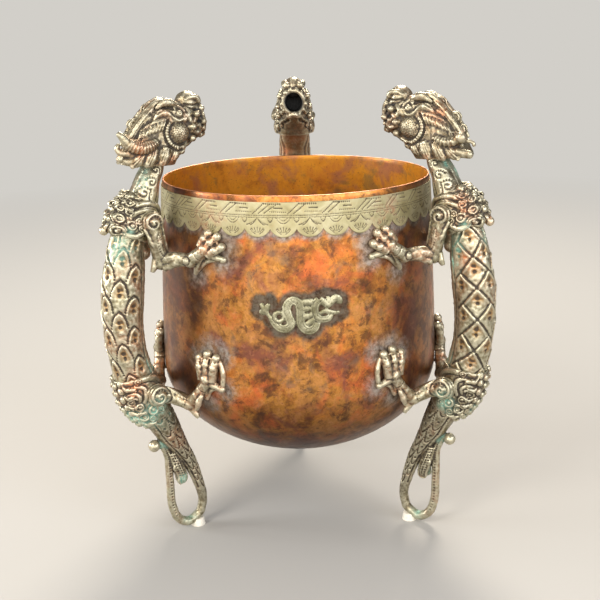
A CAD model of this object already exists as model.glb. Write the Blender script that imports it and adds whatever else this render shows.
import math
import bmesh
import bpy
import numpy as np
from mathutils import Matrix, Vector, noise
from mathutils.bvhtree import BVHTree
from mathutils.kdtree import KDTree


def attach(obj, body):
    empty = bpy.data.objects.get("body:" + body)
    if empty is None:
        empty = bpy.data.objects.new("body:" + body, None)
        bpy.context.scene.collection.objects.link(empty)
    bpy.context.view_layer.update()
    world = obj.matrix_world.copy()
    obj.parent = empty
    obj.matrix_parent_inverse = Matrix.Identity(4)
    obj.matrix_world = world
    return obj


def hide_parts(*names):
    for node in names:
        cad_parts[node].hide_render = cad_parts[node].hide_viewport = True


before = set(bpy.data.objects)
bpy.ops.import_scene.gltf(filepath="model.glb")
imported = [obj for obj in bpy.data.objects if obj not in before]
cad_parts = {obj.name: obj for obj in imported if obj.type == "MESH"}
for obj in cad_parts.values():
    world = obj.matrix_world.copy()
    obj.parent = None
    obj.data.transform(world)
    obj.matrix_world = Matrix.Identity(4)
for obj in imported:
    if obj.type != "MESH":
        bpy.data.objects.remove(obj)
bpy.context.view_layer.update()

mm = 0.001
sideways = Vector((0, 1, 0))
upward = Vector((0, 0, 1))
scene = bpy.context.scene
thinnest = 0.15  # mm, the least half thickness of a strand
noise.seed_set(7)  # the curls of the collars differ a little in size, the same way each run

# The three dragons are one casting, made once facing +X and then turned round the bowl's axis
figureTurns = {"back": 90, "left": 210, "right": 330}


# shared making

def spot(out, height, side=0.0):
    # a place on a dragon: out from the bowl's axis, up from the table and to its side, in mm
    return Vector((out, side, height)) * mm


def spotLine(*places):
    # several such places
    return [spot(*place) for place in places]


def smoothLine(points, sizes, steps):
    # a curve through all the points, with a thickness carried along it
    line, widths = [], []
    last = len(points) - 1
    for index in range(last):
        before, here = points[max(index - 1, 0)], points[index]
        after, beyond = points[index + 1], points[min(index + 2, last)]
        for step in range(steps):
            t = step / steps
            bend = (2 * before - 5 * here + 4 * after - beyond) * t * t
            twist = (3 * here - before - 3 * after + beyond) * t * t * t
            line.append(0.5 * (2 * here + (after - before) * t + bend + twist))
            widths.append(sizes[index] * (1 - t) + sizes[index + 1] * t)
    return line + [points[last]], widths + [sizes[last]]


def drawnLine(places, steps):
    # a curve through places seen from the side
    return smoothLine(spotLine(*places), [1] * len(places), steps)[0]


def crossFrame(line, index, facing):
    # how a cross-section lies at one place of a line: its width across, its height towards facing
    along = (line[min(index + 1, len(line) - 1)] - line[max(index - 1, 0)]).normalized()
    across = facing.cross(along)
    if across.length < 0.05:
        across = Vector((along.z, along.x, along.y)).cross(along)
    across.normalize()
    return across, along.cross(across).normalized(), along


def placeOf(across, up, along, centre):
    # the turn, stretch and place of one cross-section
    place = Matrix((across, up, along)).transposed().to_4x4()
    place.translation = centre
    return place


def growTube(bm, ring, places):
    # a ring that is extruded from place to place, then closed at both ends
    edges = list(dict.fromkeys(edge for vert in ring for edge in vert.link_edges))
    firstEdges, lastPlace = edges, Matrix()
    for index, place in enumerate(places):
        if index:
            grown = bmesh.ops.extrude_edge_only(bm, edges=edges)["geom"]
            ring = [part for part in grown if isinstance(part, bmesh.types.BMVert)]
            fresh = set(ring)
            edges = [part for part in grown if isinstance(part, bmesh.types.BMEdge)
                     and part.verts[0] in fresh and part.verts[1] in fresh]
        bmesh.ops.transform(bm, matrix=place @ lastPlace.inverted(), verts=ring)
        lastPlace = place
    for end in (firstEdges, edges):
        bmesh.ops.contextual_create(bm, geom=end)


def strand(bm, points, sizes, facing=sideways, flat=1.0, sides=8, steps=4):
    # a tapering strand, flattened towards the way that it faces
    line, widths = smoothLine(points, sizes, steps)
    places = []
    for index, centre in enumerate(line):
        across, up, along = crossFrame(line, index, facing)
        width = max(widths[index], thinnest) * mm
        places.append(placeOf(across * width, up * width * flat, along * mm, centre))
    growTube(bm, bmesh.ops.create_circle(bm, segments=sides, radius=1, cap_ends=False)["verts"], places)
    return line


def ball(bm, centre, radius, detail=2, stretch=(1, 1, 1)):
    place = Matrix.Translation(centre) @ Matrix.Diagonal((*stretch, 1))
    bmesh.ops.create_icosphere(bm, subdivisions=detail, radius=radius * mm, matrix=place)


def scroll(bm, centre, radius, thick, start, hand, facing, turns=1.2, knob=0.42):
    # a C-scroll: a strand that winds in to a round knob, lying across the way it faces
    flatA = Vector((1, 0, 0))
    flatB = facing.cross(flatA).normalized()
    flatA = flatB.cross(facing).normalized()
    points = []
    count = 8
    for step in range(count + 1):
        share = step / count
        angle = math.radians(start) + hand * share * turns * 2 * math.pi
        reach = radius * mm * (1 - 0.62 * share)
        points.append(centre + flatA * math.cos(angle) * reach + flatB * math.sin(angle) * reach)
    strand(bm, points, [thick * 0.7] + [thick] * (count - 1) + [thick * 0.8], facing, 1.0, 8, 2)
    ball(bm, centre + facing * thick * 0.3 * mm, radius * knob)


def newPiece(name, mesh, smooth=True):
    piece = bpy.data.objects.new(name, mesh)
    scene.collection.objects.link(piece)
    mesh.polygons.foreach_set("use_smooth", [smooth] * len(mesh.polygons))
    return piece


def meshOf(bm, name, recalculate=True):
    if recalculate:
        bmesh.ops.recalc_face_normals(bm, faces=bm.faces)
    mesh = bpy.data.meshes.new(name)
    bm.to_mesh(mesh)
    bm.free()
    return mesh


def cutAway(mesh, tool, name):
    # takes one closed form out of another
    piece, cutter = newPiece(name, mesh), newPiece(name + "Cutter", tool)
    modifier = piece.modifiers.new("cut", "BOOLEAN")
    modifier.operation, modifier.object, modifier.solver = "DIFFERENCE", cutter, "EXACT"
    done = bpy.data.meshes.new_from_object(piece.evaluated_get(bpy.context.evaluated_depsgraph_get()))
    bpy.data.objects.remove(piece)
    bpy.data.objects.remove(cutter)
    return done


def oneSkin(mesh, name, voxel, softening=2):
    # joins overlapping forms under one skin, as molten metal fills a mould, and rounds its edges
    piece = newPiece(name, mesh)
    modifier = piece.modifiers.new("skin", "REMESH")
    modifier.mode, modifier.voxel_size = "VOXEL", voxel * mm
    done = bpy.data.meshes.new_from_object(piece.evaluated_get(bpy.context.evaluated_depsgraph_get()))
    bpy.data.objects.remove(piece)
    bm = bmesh.new()
    bm.from_mesh(done)
    for step in range(softening):
        bmesh.ops.smooth_vert(bm, verts=bm.verts, factor=0.5, use_axis_x=True, use_axis_y=True, use_axis_z=True)
    bm.to_mesh(done)
    bm.free()
    return done


def pointsOf(mesh):
    places = np.empty(len(mesh.vertices) * 3)
    mesh.vertices.foreach_get("co", places)
    normals = np.empty(len(mesh.vertices) * 3)
    mesh.vertex_normals.foreach_get("vector", normals)
    return places.reshape(-1, 3), normals.reshape(-1, 3)


def setPoints(mesh, places):
    mesh.vertices.foreach_set("co", places.ravel())
    mesh.update()


def carve(mesh, lines, depth, width, side=0, rounded=2.0):
    # pushes the surface in along drawn lines, as a graver does; a negative depth raises it.
    # With a side, the lines are drawn on the dragon's flank and reach whatever skin faces them.
    drawn = [point for line in lines for point in line]
    tree = KDTree(len(drawn))
    for index, point in enumerate(drawn):
        tree.insert((point.x, 0 if side else point.y, point.z), index)
    tree.balance()
    places, normals = pointsOf(mesh)
    reach = width * mm
    for index in range(len(places)):
        x, y, z = places[index]
        if side and normals[index][1] * side < 0.15:
            continue
        away = tree.find((x, 0 if side else y, z))[2]
        if away < reach * 2.2:
            places[index] -= normals[index] * depth * mm * math.exp(-(away / reach) ** rounded * 1.4)
    setPoints(mesh, places)


def grain(mesh, *layers):
    # the faint unevenness that a sand or wax mould leaves: the size, height and seed of each layer
    for size, height, seed in layers:
        places, normals = pointsOf(mesh)
        shift = Vector((seed, seed * 0.7, seed * 1.3))
        for index in range(len(places)):
            lift = noise.noise(Vector(places[index]) / (size * mm) + shift)
            places[index] += normals[index] * lift * height * mm
        setPoints(mesh, places)


def markHollows(mesh, name, passes, scale):
    # an attribute from 0 in the hollows to 1 on the edges, found by comparing with a smoothed copy
    places, normals = pointsOf(mesh)
    ends = np.empty(len(mesh.edges) * 2, dtype=np.int64)
    mesh.edges.foreach_get("vertices", ends)
    first, second = ends[0::2], ends[1::2]
    count = len(places)
    links = np.bincount(first, minlength=count) + np.bincount(second, minlength=count)
    smooth = places.copy()
    for step in range(passes):
        total = np.empty_like(smooth)
        for axis in range(3):
            total[:, axis] = (np.bincount(first, smooth[second, axis], count)
                              + np.bincount(second, smooth[first, axis], count))
        smooth = total / np.maximum(links, 1)[:, None]
    height = ((places - smooth) * normals).sum(axis=1) / (scale * mm)
    layer = mesh.attributes.new(name, "FLOAT", "POINT")
    layer.data.foreach_set("value", np.clip(0.5 + height / 2, 0, 1))


def markSpots(mesh, name, spots):
    # an attribute that is 1 at the middle of each spot and fades to 0 at its edge
    places, normals = pointsOf(mesh)
    weight = np.zeros(len(places))
    for x, y, z, radius in spots:
        away = np.linalg.norm(places - np.array((x, y, z)) * mm, axis=1) / (radius * mm)
        weight = np.maximum(weight, np.clip(1.25 - away, 0, 1))
    layer = mesh.attributes.new(name, "FLOAT", "POINT")
    layer.data.foreach_set("value", weight)


def perSize(size):
    # a noise or wave scale, from the pattern's real size in mm
    return 1000 / size


# the copper bowl

bowlSizes = {"rimRadius": 70.0, "bellyRadius": 74.1, "bellyHeight": 86.2, "wallHeight": 99.7,
             "baseDepth": 49.3, "copper": 1.0, "baseRoundness": 1.87, "wallTaper": 1.5,
             "dent": 0.22, "around": 288, "baseRings": 34, "wallRings": 62}


def bowlRadius(height):
    # outside of the copper at a height, in mm
    size = bowlSizes
    if height >= size["bellyHeight"]:
        rise = (height - size["bellyHeight"]) / size["wallHeight"]
        return size["bellyRadius"] - (size["bellyRadius"] - size["rimRadius"]) * rise ** size["wallTaper"]
    drop = min((size["bellyHeight"] - height) / size["baseDepth"], 1)
    return size["bellyRadius"] * (1 - drop ** size["baseRoundness"]) ** (1 / size["baseRoundness"])


def dentAt(angle, height):
    # how far the hand-raised wall wanders in or out of true, in mm
    where = Vector((math.cos(angle) * 1.7, math.sin(angle) * 1.7, height / 42))
    return noise.noise(where) * bowlSizes["dent"]


def bowlProfile(inset, rings):
    size = bowlSizes
    radius, depth = size["bellyRadius"] - inset, size["baseDepth"] - inset
    low, high = rings
    line = []
    for step in range(low):
        turn = math.pi / 2 * (1 - step / low)
        power = 2 / size["baseRoundness"]
        out = radius * max(math.cos(turn), 0) ** power if step else 0.0
        line.append((out, size["bellyHeight"] - depth * math.sin(turn) ** power))
    for step in range(high + 1):
        height = size["bellyHeight"] + (size["wallHeight"] - 0.45) * step / high
        line.append((bowlRadius(height) - inset, height))
    return line


def makeBowl():
    size = bowlSizes
    bm = bmesh.new()
    inner = bm.verts.layers.float.new("inside")
    outside = bowlProfile(0, (size["baseRings"], size["wallRings"]))
    inside = bowlProfile(size["copper"], (22, 40))
    top = size["bellyHeight"] + size["wallHeight"]
    lip = [(size["rimRadius"] - share * size["copper"], top - drop) for share, drop in
           ((0.14, 0.12), (0.5, 0.0), (0.86, 0.12))]
    profile = [(point, 0.0) for point in outside] + [(point, 0.5) for point in lip]
    profile += [(point, 1.0) for point in reversed(inside)]
    verts = []
    for (out, height), flag in profile:
        vert = bm.verts.new((out * mm, 0, height * mm))
        vert[inner] = flag
        verts.append(vert)
    edges = [bm.edges.new(pair) for pair in zip(verts, verts[1:])]
    bmesh.ops.spin(bm, geom=verts + edges, cent=(0, 0, 0), axis=upward, angle=2 * math.pi,
                   steps=size["around"], use_merge=True)
    bmesh.ops.remove_doubles(bm, verts=bm.verts, dist=0.00001)
    for vert in bm.verts:
        out = math.hypot(vert.co.x, vert.co.y)
        if out > 0.004:
            angle = math.atan2(vert.co.y, vert.co.x)
            shift = dentAt(angle, vert.co.z / mm) * mm * min(out / 0.03, 1)
            vert.co.x += math.cos(angle) * shift
            vert.co.y += math.sin(angle) * shift
    return meshOf(bm, "copperBowl")


# the engraved band round the rim

bandSizes = {"top": 183.0, "low": 166.6, "thick": 0.5, "lobes": 36, "rise": 4.0,
             "columns": 1440, "rows": 42, "cutDepth": 0.22, "cutWidth": 0.30}


def bandPoint(degrees, height, off=0.5):
    angle = math.radians(degrees)
    out = bowlRadius(height) + dentAt(angle, height) + off
    return Vector((math.cos(angle) * out, math.sin(angle) * out, height)) * mm


def scallopEdge(degrees):
    # the lower edge of the band: round lobes that meet in points
    size = bandSizes
    half = math.pi * bowlRadius(size["low"]) / size["lobes"]
    lobe = (half ** 2 + size["rise"] ** 2) / (2 * size["rise"])
    turn = (degrees / (360 / size["lobes"])) % 1
    offset = (turn - 0.5) * 2 * half
    return size["low"] + lobe - math.sqrt(lobe ** 2 - offset ** 2)


def bandStroke(start, end, count=9, sag=0.0):
    # an engraved stroke between two places given as degrees and height, bowed down by sag
    points = []
    for step in range(count):
        t = step / (count - 1)
        height = start[1] + (end[1] - start[1]) * t - sag * 4 * t * (1 - t)
        points.append(bandPoint(start[0] + (end[0] - start[0]) * t, height))
    return points


def bandDrawing():
    heavy, fine = [], []
    for group in range(27):
        a = group * 13.3333
        wander = noise.noise(Vector((group * 1.7, 0.3, 0.9))) * 0.5
        for k in range(3 if group % 3 == 1 else 2):
            foot, top = a + k * 2.3 + wander, a + 4.2 + k * 2.3 + wander
            heavy.append(bandStroke((foot, 177.6 + 0.2 * k), (top, 182.3 - 0.4 * k)))
        heavy.append(bandStroke((a + 4.4, 182.1), (a + 10.6 + wander, 182.0)))
        heavy.append(bandStroke((a + 8.2, 180.3), (a + 11.2, 180.2 + 0.3 * wander)))
        fine.append(bandStroke((a + 6.6, 178.6), (a + 12.6, 178.4)))
    fine.append(bandStroke((0, 176.8), (360, 176.8), 900))
    fine.append(bandStroke((0, 175.9), (360, 175.9), 900))
    pitch = 360 / bandSizes["lobes"]
    for lobe in range(bandSizes["lobes"]):
        middle = (lobe + 0.5) * pitch
        if lobe % 2:
            for reach, foot in ((4.1, 172.6), (2.7, 172.4)):
                fine.append(bandStroke((middle - reach, foot), (middle, 175.6), 12, 0.55))
                fine.append(bandStroke((middle + reach, foot), (middle, 175.6), 12, 0.55))
        else:
            fine.append(bandStroke((middle - 2.6, 175.6), (middle + 2.6, 175.6), 14, 2.5))
            fine.append(bandStroke((middle - 1.5, 175.6), (middle + 1.5, 175.6), 10, 1.3))
        fine.append(bandStroke((middle - 5.9, 175.3), (middle - 4.1, 175.3), 9, 1.6))
        for tick in range(-2, 3):
            root, tip = (middle + tick * 0.55, 169.1), (middle + tick * 1.15, 171.3 - 0.28 * abs(tick))
            fine.append(bandStroke(root, tip, 6))
        fine.append(bandStroke((middle - 2.6, 170.2), (middle - 0.9, 168.3), 6, 0.3))
        fine.append(bandStroke((middle + 2.6, 170.2), (middle + 0.9, 168.3), 6, 0.3))
    return heavy, fine


def makeBand():
    size = bandSizes
    bm = bmesh.new()
    bmesh.ops.create_grid(bm, x_segments=size["columns"], y_segments=size["rows"], size=0.5)
    for vert in bm.verts:
        degrees, share = (vert.co.x + 0.5) * 360, vert.co.y + 0.5
        low = scallopEdge(degrees)
        vert.co = bandPoint(degrees, low + (size["top"] - low) * share, size["thick"])
    bmesh.ops.remove_doubles(bm, verts=bm.verts, dist=0.00002)
    rims = [edge for edge in bm.edges if edge.is_boundary]
    turned = bmesh.ops.extrude_edge_only(bm, edges=rims)["geom"]
    backs = [part for part in turned if isinstance(part, bmesh.types.BMVert)]
    for vert in backs:
        angle = math.atan2(vert.co.y, vert.co.x)
        vert.co.x -= math.cos(angle) * size["thick"] * 0.9 * mm
        vert.co.y -= math.sin(angle) * size["thick"] * 0.9 * mm
    backEdges = [part for part in turned if isinstance(part, bmesh.types.BMEdge) and part.is_boundary]
    bmesh.ops.bridge_loops(bm, edges=backEdges)
    mesh = meshOf(bm, "engravedBand")
    heavy, fine = bandDrawing()
    carve(mesh, heavy, size["cutDepth"], size["cutWidth"] * 1.25)
    carve(mesh, fine, size["cutDepth"] * 0.8, size["cutWidth"])
    return mesh


# the small dragon on the front

emblemSizes = {"length": 39.5, "height": 17.0, "strand": 4.5, "middle": 129.3, "azimuth": 270.4,
               "voxel": 0.24, "pebble": 0.34, "relief": 0.46}
emblemStrokes = [
    [(-0.350, -0.08, 0.6), (-0.290, -0.26, 0.9), (-0.232, -0.37, 1), (-0.157, -0.37, 1),
     (-0.108, -0.24, 1), (-0.142, 0.00, 1), (-0.157, 0.19, 1), (-0.127, 0.36, 1),
     (-0.073, 0.43, 1), (-0.020, 0.36, 1), (0.005, 0.17, 1), (0.005, -0.04, 1),
     (0.010, -0.24, 1), (0.045, -0.38, 1), (0.110, -0.45, 1), (0.172, -0.38, 1), (0.205, -0.22, 0.8)],
    [(-0.350, -0.08, 0.55), (-0.385, 0.02, 0.4), (-0.420, 0.14, 0.8), (-0.468, 0.34, 0.4)],
    [(-0.412, 0.08, 0.5), (-0.396, 0.20, 0.75), (-0.366, 0.33, 0.4)],
    [(-0.412, 0.08, 0.5), (-0.445, 0.08, 0.7), (-0.490, 0.10, 0.4)],
    [(-0.020, 0.36, 0.6), (0.070, 0.37, 0.8), (0.160, 0.37, 0.85)],
    [(0.010, 0.17, 0.6), (0.090, 0.18, 0.7), (0.150, 0.17, 0.4)],
    [(0.010, -0.06, 0.6), (0.090, -0.03, 0.8), (0.160, 0.03, 0.4)],
    [(0.080, -0.27, 0.6), (0.125, -0.20, 0.7), (0.175, -0.10, 0.5)],
    [(0.235, 0.43, 0.9), (0.188, 0.30, 1), (0.178, 0.08, 0.9), (0.205, -0.08, 0.8),
     (0.260, -0.14, 0.8), (0.340, -0.12, 0.8), (0.390, -0.03, 0.4)],
    [(0.235, 0.43, 0.9), (0.285, 0.35, 0.8), (0.335, 0.27, 0.8), (0.385, 0.36, 0.8),
     (0.436, 0.45, 0.9), (0.476, 0.37, 0.9), (0.480, 0.27, 0.6)],
    [(0.335, 0.28, 0.6), (0.345, 0.40, 0.7), (0.332, 0.52, 0.3)],
    [(0.240, 0.03, 0.4), (0.310, 0.09, 0.6), (0.390, 0.03, 0.6), (0.484, 0.03, 0.3)],
]


def emblemPoint(along, up, off=0.15):
    size = emblemSizes
    height = size["middle"] + size["height"] * up
    angle = math.radians(size["azimuth"]) + size["length"] * along / bowlRadius(height)
    out = bowlRadius(height) + dentAt(angle, height) + off
    return Vector((math.cos(angle) * out, math.sin(angle) * out, height)) * mm


def makeEmblem():
    size = emblemSizes
    facing = Vector((math.cos(math.radians(size["azimuth"])), math.sin(math.radians(size["azimuth"])), 0))
    bm = bmesh.new()
    for stroke in emblemStrokes:
        points = [emblemPoint(along, up, 0.25) for along, up, share in stroke]
        radii = [size["strand"] / 2 * share for along, up, share in stroke]
        strand(bm, points, radii, facing, size["relief"], 12, 5)
    eye = emblemPoint(-0.250, -0.035, 0.3)
    loop = [eye + (facing.cross(upward) * math.cos(k * math.pi / 4) + upward * math.sin(k * math.pi / 4))
            * size["strand"] * 0.50 * mm for k in range(9)]
    strand(bm, loop, [size["strand"] * 0.27] * 9, facing, 0.9, 8, 3)
    mesh = oneSkin(meshOf(bm, "emblemForms"), "emblem", size["voxel"], 2)
    pebbles = []
    for stroke in (emblemStrokes[0], emblemStrokes[8]):
        line, widths = smoothLine([emblemPoint(a, u, 0.35) for a, u, s in stroke], [1.0] * len(stroke), 7)
        for index, point in enumerate(line):
            across, up, along = crossFrame(line, index, facing)
            for lane in (-1.0, -0.35, 0.35, 1.0):
                slide = along * (0.4 if abs(lane) < 0.5 else 0) * mm
                pebbles.append([point + across * lane * mm + facing * (1.05 - 0.3 * abs(lane)) * mm + slide])
    carve(mesh, pebbles, size["pebble"], 0.36)
    mouth = [[emblemPoint(0.255, 0.27, 1.2), emblemPoint(0.275, 0.24, 1.2)]]
    carve(mesh, mouth, 0.5, 0.6)
    markHollows(mesh, "hollow", 8, 0.10)
    return mesh


# the dragon's body: one line of stations from under the head to the tail's loop

# out, height, half depth and half width of each station, in mm
bodyStations = [
    (78.5, 204.9, 3.6, 7.2), (80.0, 197.0, 4.3, 9.0), (83.4, 190.0, 5.5, 9.3), (86.6, 180.7, 7.4, 9.8),
    (91.0, 170.5, 8.3, 10.0), (95.9, 162.9, 8.0, 9.5), (97.9, 150.1, 10.5, 9.5), (100.1, 135.0, 11.3, 10.0),
    (101.0, 119.9, 10.5, 10.0), (99.8, 105.1, 10.1, 10.0), (97.0, 93.0, 10.5, 10.0), (93.5, 81.9, 10.0, 9.5),
    (85.6, 68.4, 8.3, 8.0), (80.1, 57.3, 7.0, 6.5), (74.9, 48.0, 5.0, 5.2), (69.6, 38.0, 3.8, 4.2),
    (65.2, 25.1, 2.9, 3.2), (63.2, 15.3, 2.4, 2.7), (64.8, 7.4, 2.3, 2.5)]
maneStations = [(87.2, 181.4, 8.9, 11.2), (90.8, 175.4, 11.4, 12.8), (93.9, 170.5, 12.2, 13.2),
                (96.6, 165.0, 11.1, 12.8)]
hipStations = [(97.3, 93.7, 11.6, 11.2), (95.4, 84.7, 12.7, 12.3), (90.6, 75.4, 11.9, 12.0),
               (86.8, 69.6, 9.3, 9.5)]


def bodyLine(stations, steps):
    # the stations made dense: centres, with half depths and half widths
    centres, depths = smoothLine([spot(s[0], s[1]) for s in stations], [s[2] for s in stations], steps)
    widths = smoothLine([spot(s[0], s[1]) for s in stations], [s[3] for s in stations], steps)[1]
    return centres, depths, widths


def tubeAlong(bm, stations, steps, segments, shrink=1.0):
    # an oval tube along the stations
    centres, depths, widths = bodyLine(stations, steps)
    places = []
    for index, centre in enumerate(centres):
        along = crossFrame(centres, index, sideways)[2]
        outward = sideways.cross(along).normalized()
        places.append(placeOf(sideways * widths[index] * shrink * mm, outward * depths[index] * shrink * mm,
                              along * mm, centre))
    growTube(bm, bmesh.ops.create_circle(bm, segments=segments, radius=1, cap_ends=False)["verts"], places)


class flankOf:
    # finds where a place seen from the side lies on an oval tube's skin
    def __init__(self, stations, steps=12):
        self.centres, self.depths, self.widths = bodyLine(stations, steps)

    def skin(self, out, height, side, lift=0.0):
        place = spot(out, height)
        best, result = 1e9, None
        for index, centre in enumerate(self.centres):
            across, up, along = crossFrame(self.centres, index, sideways)
            off = abs((place - centre).dot(along))
            if off + (place - centre).length * 0.02 < best:
                outward = sideways.cross(along).normalized()
                reach = (place - centre).dot(outward) / (self.depths[index] * mm)
                best = off + (place - centre).length * 0.02
                result = self.widths[index] * math.sqrt(max(0.06, 1 - min(reach * reach, 1)))
        return spot(out, height, side * (result + lift))

    def along(self, places, side, lift=0.0):
        return [self.skin(out, height, side, lift) for out, height in places]


def surfacePoint(line, run, turn):
    # a place on the tube's skin at a distance along it, in mm, and a turn from its outer edge, in degrees
    centres, depths, widths = line
    travelled = 0.0
    for index in range(1, len(centres)):
        step = (centres[index] - centres[index - 1]).length / mm
        if travelled + step >= run or index == len(centres) - 1:
            share = min(max((run - travelled) / step, 0), 1)
            break
        travelled += step
    centre = centres[index - 1].lerp(centres[index], share)
    across, up, along = crossFrame(centres, index, sideways)
    outward = sideways.cross(along).normalized()
    if outward.x < 0:
        outward = -outward
    depth = depths[index - 1] * (1 - share) + depths[index] * share
    width = widths[index - 1] * (1 - share) + widths[index] * share
    angle = math.radians(turn)
    return centre + outward * math.cos(angle) * depth * mm + sideways * math.sin(angle) * width * mm


# the scaled trunk

trunkSizes = {"around": 132, "steps": 32, "pitch": 15.6, "columnTurn": 42.0, "firstTurn": 20.0,
              "firstRow": 4.5, "fit": 0.962, "grooveDepth": 0.85, "grooveWidth": 0.58,
              "rimHeight": 0.42, "rimWidth": 0.80, "holeDepth": 0.9, "holeWidth": 0.8}


def makeTrunk():
    size = trunkSizes
    stations = bodyStations[4:12]
    bm = bmesh.new()
    stations = [(out, up, depth * size["fit"], width * size["fit"]) for out, up, depth, width in stations]
    tubeAlong(bm, stations, size["steps"], size["around"])
    mesh = meshOf(bm, "trunk")
    line = bodyLine(stations, 16)
    length = sum((b - a).length for a, b in zip(line[0], line[0][1:])) / mm
    grooves, rims, holes, dishes = [], [], [], []
    for column in (-3, -2, -1, 0, 1, 2):
        turn = size["firstTurn"] + column * size["columnTurn"]
        arched = turn > -2
        half, drop = (27.0, 9.8) if arched else (42.0, 7.8)
        for row in range(-1, 8):
            apex = size["firstRow"] + row * size["pitch"] + (column % 2) * size["pitch"] / 2
            arch, rim = [], []
            for step in range(-16, 17):
                share = step / 16
                bend = 0.34 * abs(share) + 0.66 * abs(share) ** 3.6 if arched else abs(share)
                angle = turn + share * half
                if abs(angle) < 124 and apex + drop * bend < length + 2:
                    arch.append(surfacePoint(line, apex + drop * bend, angle))
                    if abs(share) < 0.95:
                        rim.append(surfacePoint(line, apex + drop * bend + 1.25, turn + share * (half - 4.5)))
            if arch and -drop < apex < length + 4:
                grooves.append(arch)
                rims.append(rim)
                if abs(turn) < 120:
                    low = 7.6 if arched else 7.8
                    holes.append([surfacePoint(line, apex + low, turn)])
                    dishes.append([surfacePoint(line, apex + low - up, turn) for up in (2.2, 0)])
                if arched and abs(turn) < 100:
                    grooves.append([surfacePoint(line, apex + 5.0 + t, turn - 3 + t)
                                    for t in np.arange(0, 1.2, 0.3)])
    for turn in (134, -134, 154, -154, 176):
        grooves.append([surfacePoint(line, run, turn + 3.5 * math.sin(run / 8 + turn))
                        for run in np.arange(1, length, 0.8)])
    carve(mesh, dishes, 0.55, 1.9)
    carve(mesh, rims, -size["rimHeight"], size["rimWidth"])
    carve(mesh, grooves, size["grooveDepth"], size["grooveWidth"])
    carve(mesh, holes, size["holeDepth"], size["holeWidth"], rounded=3.0)
    grain(mesh, (5.0, 0.25, 3.1), (1.6, 0.20, 8.2))
    return mesh


# the neck, chased with scrolls

neckSizes = {"around": 120, "steps": 26, "cutDepth": 0.42, "cutWidth": 0.5}


def spiralOn(flank, out, height, side, radius, turns, start, hand):
    points = []
    count = int(turns * 16)
    for step in range(count + 1):
        share = step / count
        angle = math.radians(start) + hand * share * turns * 2 * math.pi
        reach = radius * (1 - 0.8 * share)
        points.append(flank.skin(out + math.cos(angle) * reach, height + math.sin(angle) * reach, side))
    return points


def makeNeck():
    size = neckSizes
    stations = bodyStations[0:5]
    bm = bmesh.new()
    tubeAlong(bm, stations, size["steps"], size["around"])
    mesh = meshOf(bm, "neck")
    flank = flankOf(stations)
    for side in (1, -1):
        cuts = [spiralOn(flank, 88.6, 185.8, side, 3.2, 1.3, 200, -1),
                spiralOn(flank, 84.4, 190.6, side, 2.6, 1.2, 30, 1),
                spiralOn(flank, 82.0, 196.2, side, 2.0, 1.1, 210, -1)]
        for points in ([(92.8, 184.5), (88.5, 191.5), (84.0, 198.0)], [(80.6, 182.5), (79.4, 189.0), (78.4, 196.0)],
                       [(83.0, 181.8), (81.4, 187.0), (80.8, 191.5)], [(86.0, 180.5), (86.6, 183.5), (85.4, 187.2)]):
            line = drawnLine(points, 10)
            cuts.append([flank.skin(p.x / mm, p.z / mm, side) for p in line])
        carve(mesh, cuts, size["cutDepth"], size["cutWidth"], side)
        rings = [[flank.skin(out + math.cos(a) * reach, height + math.sin(a) * reach, side)
                  for a in np.arange(0, 6.3, step)]
                 for out, height, reach, step in ((89.2, 192.0, 1.0, 0.5), (86.2, 195.4, 0.8, 0.6))]
        carve(mesh, rings, 0.3, 0.35, side)
    grain(mesh, (4.5, 0.15, 5.3), (1.2, 0.05, 1.9))
    return mesh


# the head

# low edge out and height, high edge out and height, half width
headStations = [
    (69.5, 197.4, 98.0, 199.5, 11.0), (66.5, 201.6, 94.0, 207.6, 10.8), (63.0, 205.1, 88.0, 215.4, 9.9),
    (59.2, 207.9, 80.0, 224.4, 9.3), (56.4, 209.4, 70.0, 226.0, 8.6), (54.8, 211.2, 62.5, 225.4, 7.2),
    (54.2, 212.8, 56.6, 223.4, 5.6)]
headSizes = {"voxel": 0.36, "squareness": 2.7, "mouthWide": 4.7, "mouthTall": 5.6, "mouthDeep": 14.0,
             "mouthHeight": 218.0, "combRidges": 8, "lumps": 46, "cheek": (68.6, 212.9, 5.1), "crescent": 7.1}


def headLoft(bm, stations, shrink, steps=6, segments=56):
    # a tube through the stations, squarer than an oval
    lows, widths = smoothLine([spot(s[0], s[1]) for s in stations], [s[4] for s in stations], steps)
    highs = smoothLine([spot(s[2], s[3]) for s in stations], [s[4] for s in stations], steps)[0]
    ring = bmesh.ops.create_circle(bm, segments=segments, radius=1, cap_ends=False)["verts"]
    power = 2 / headSizes["squareness"]
    for vert in ring:
        vert.co.x = math.copysign(abs(vert.co.x) ** power, vert.co.x)
        vert.co.y = math.copysign(abs(vert.co.y) ** power, vert.co.y)
    places = []
    for low, high, width in zip(lows, highs, widths):
        reach = (high - low) / 2 * shrink
        places.append(placeOf(sideways * (width * shrink * mm), reach, sideways.cross(reach).normalized() * mm,
                              (low + high) / 2))
    growTube(bm, ring, places)


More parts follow.
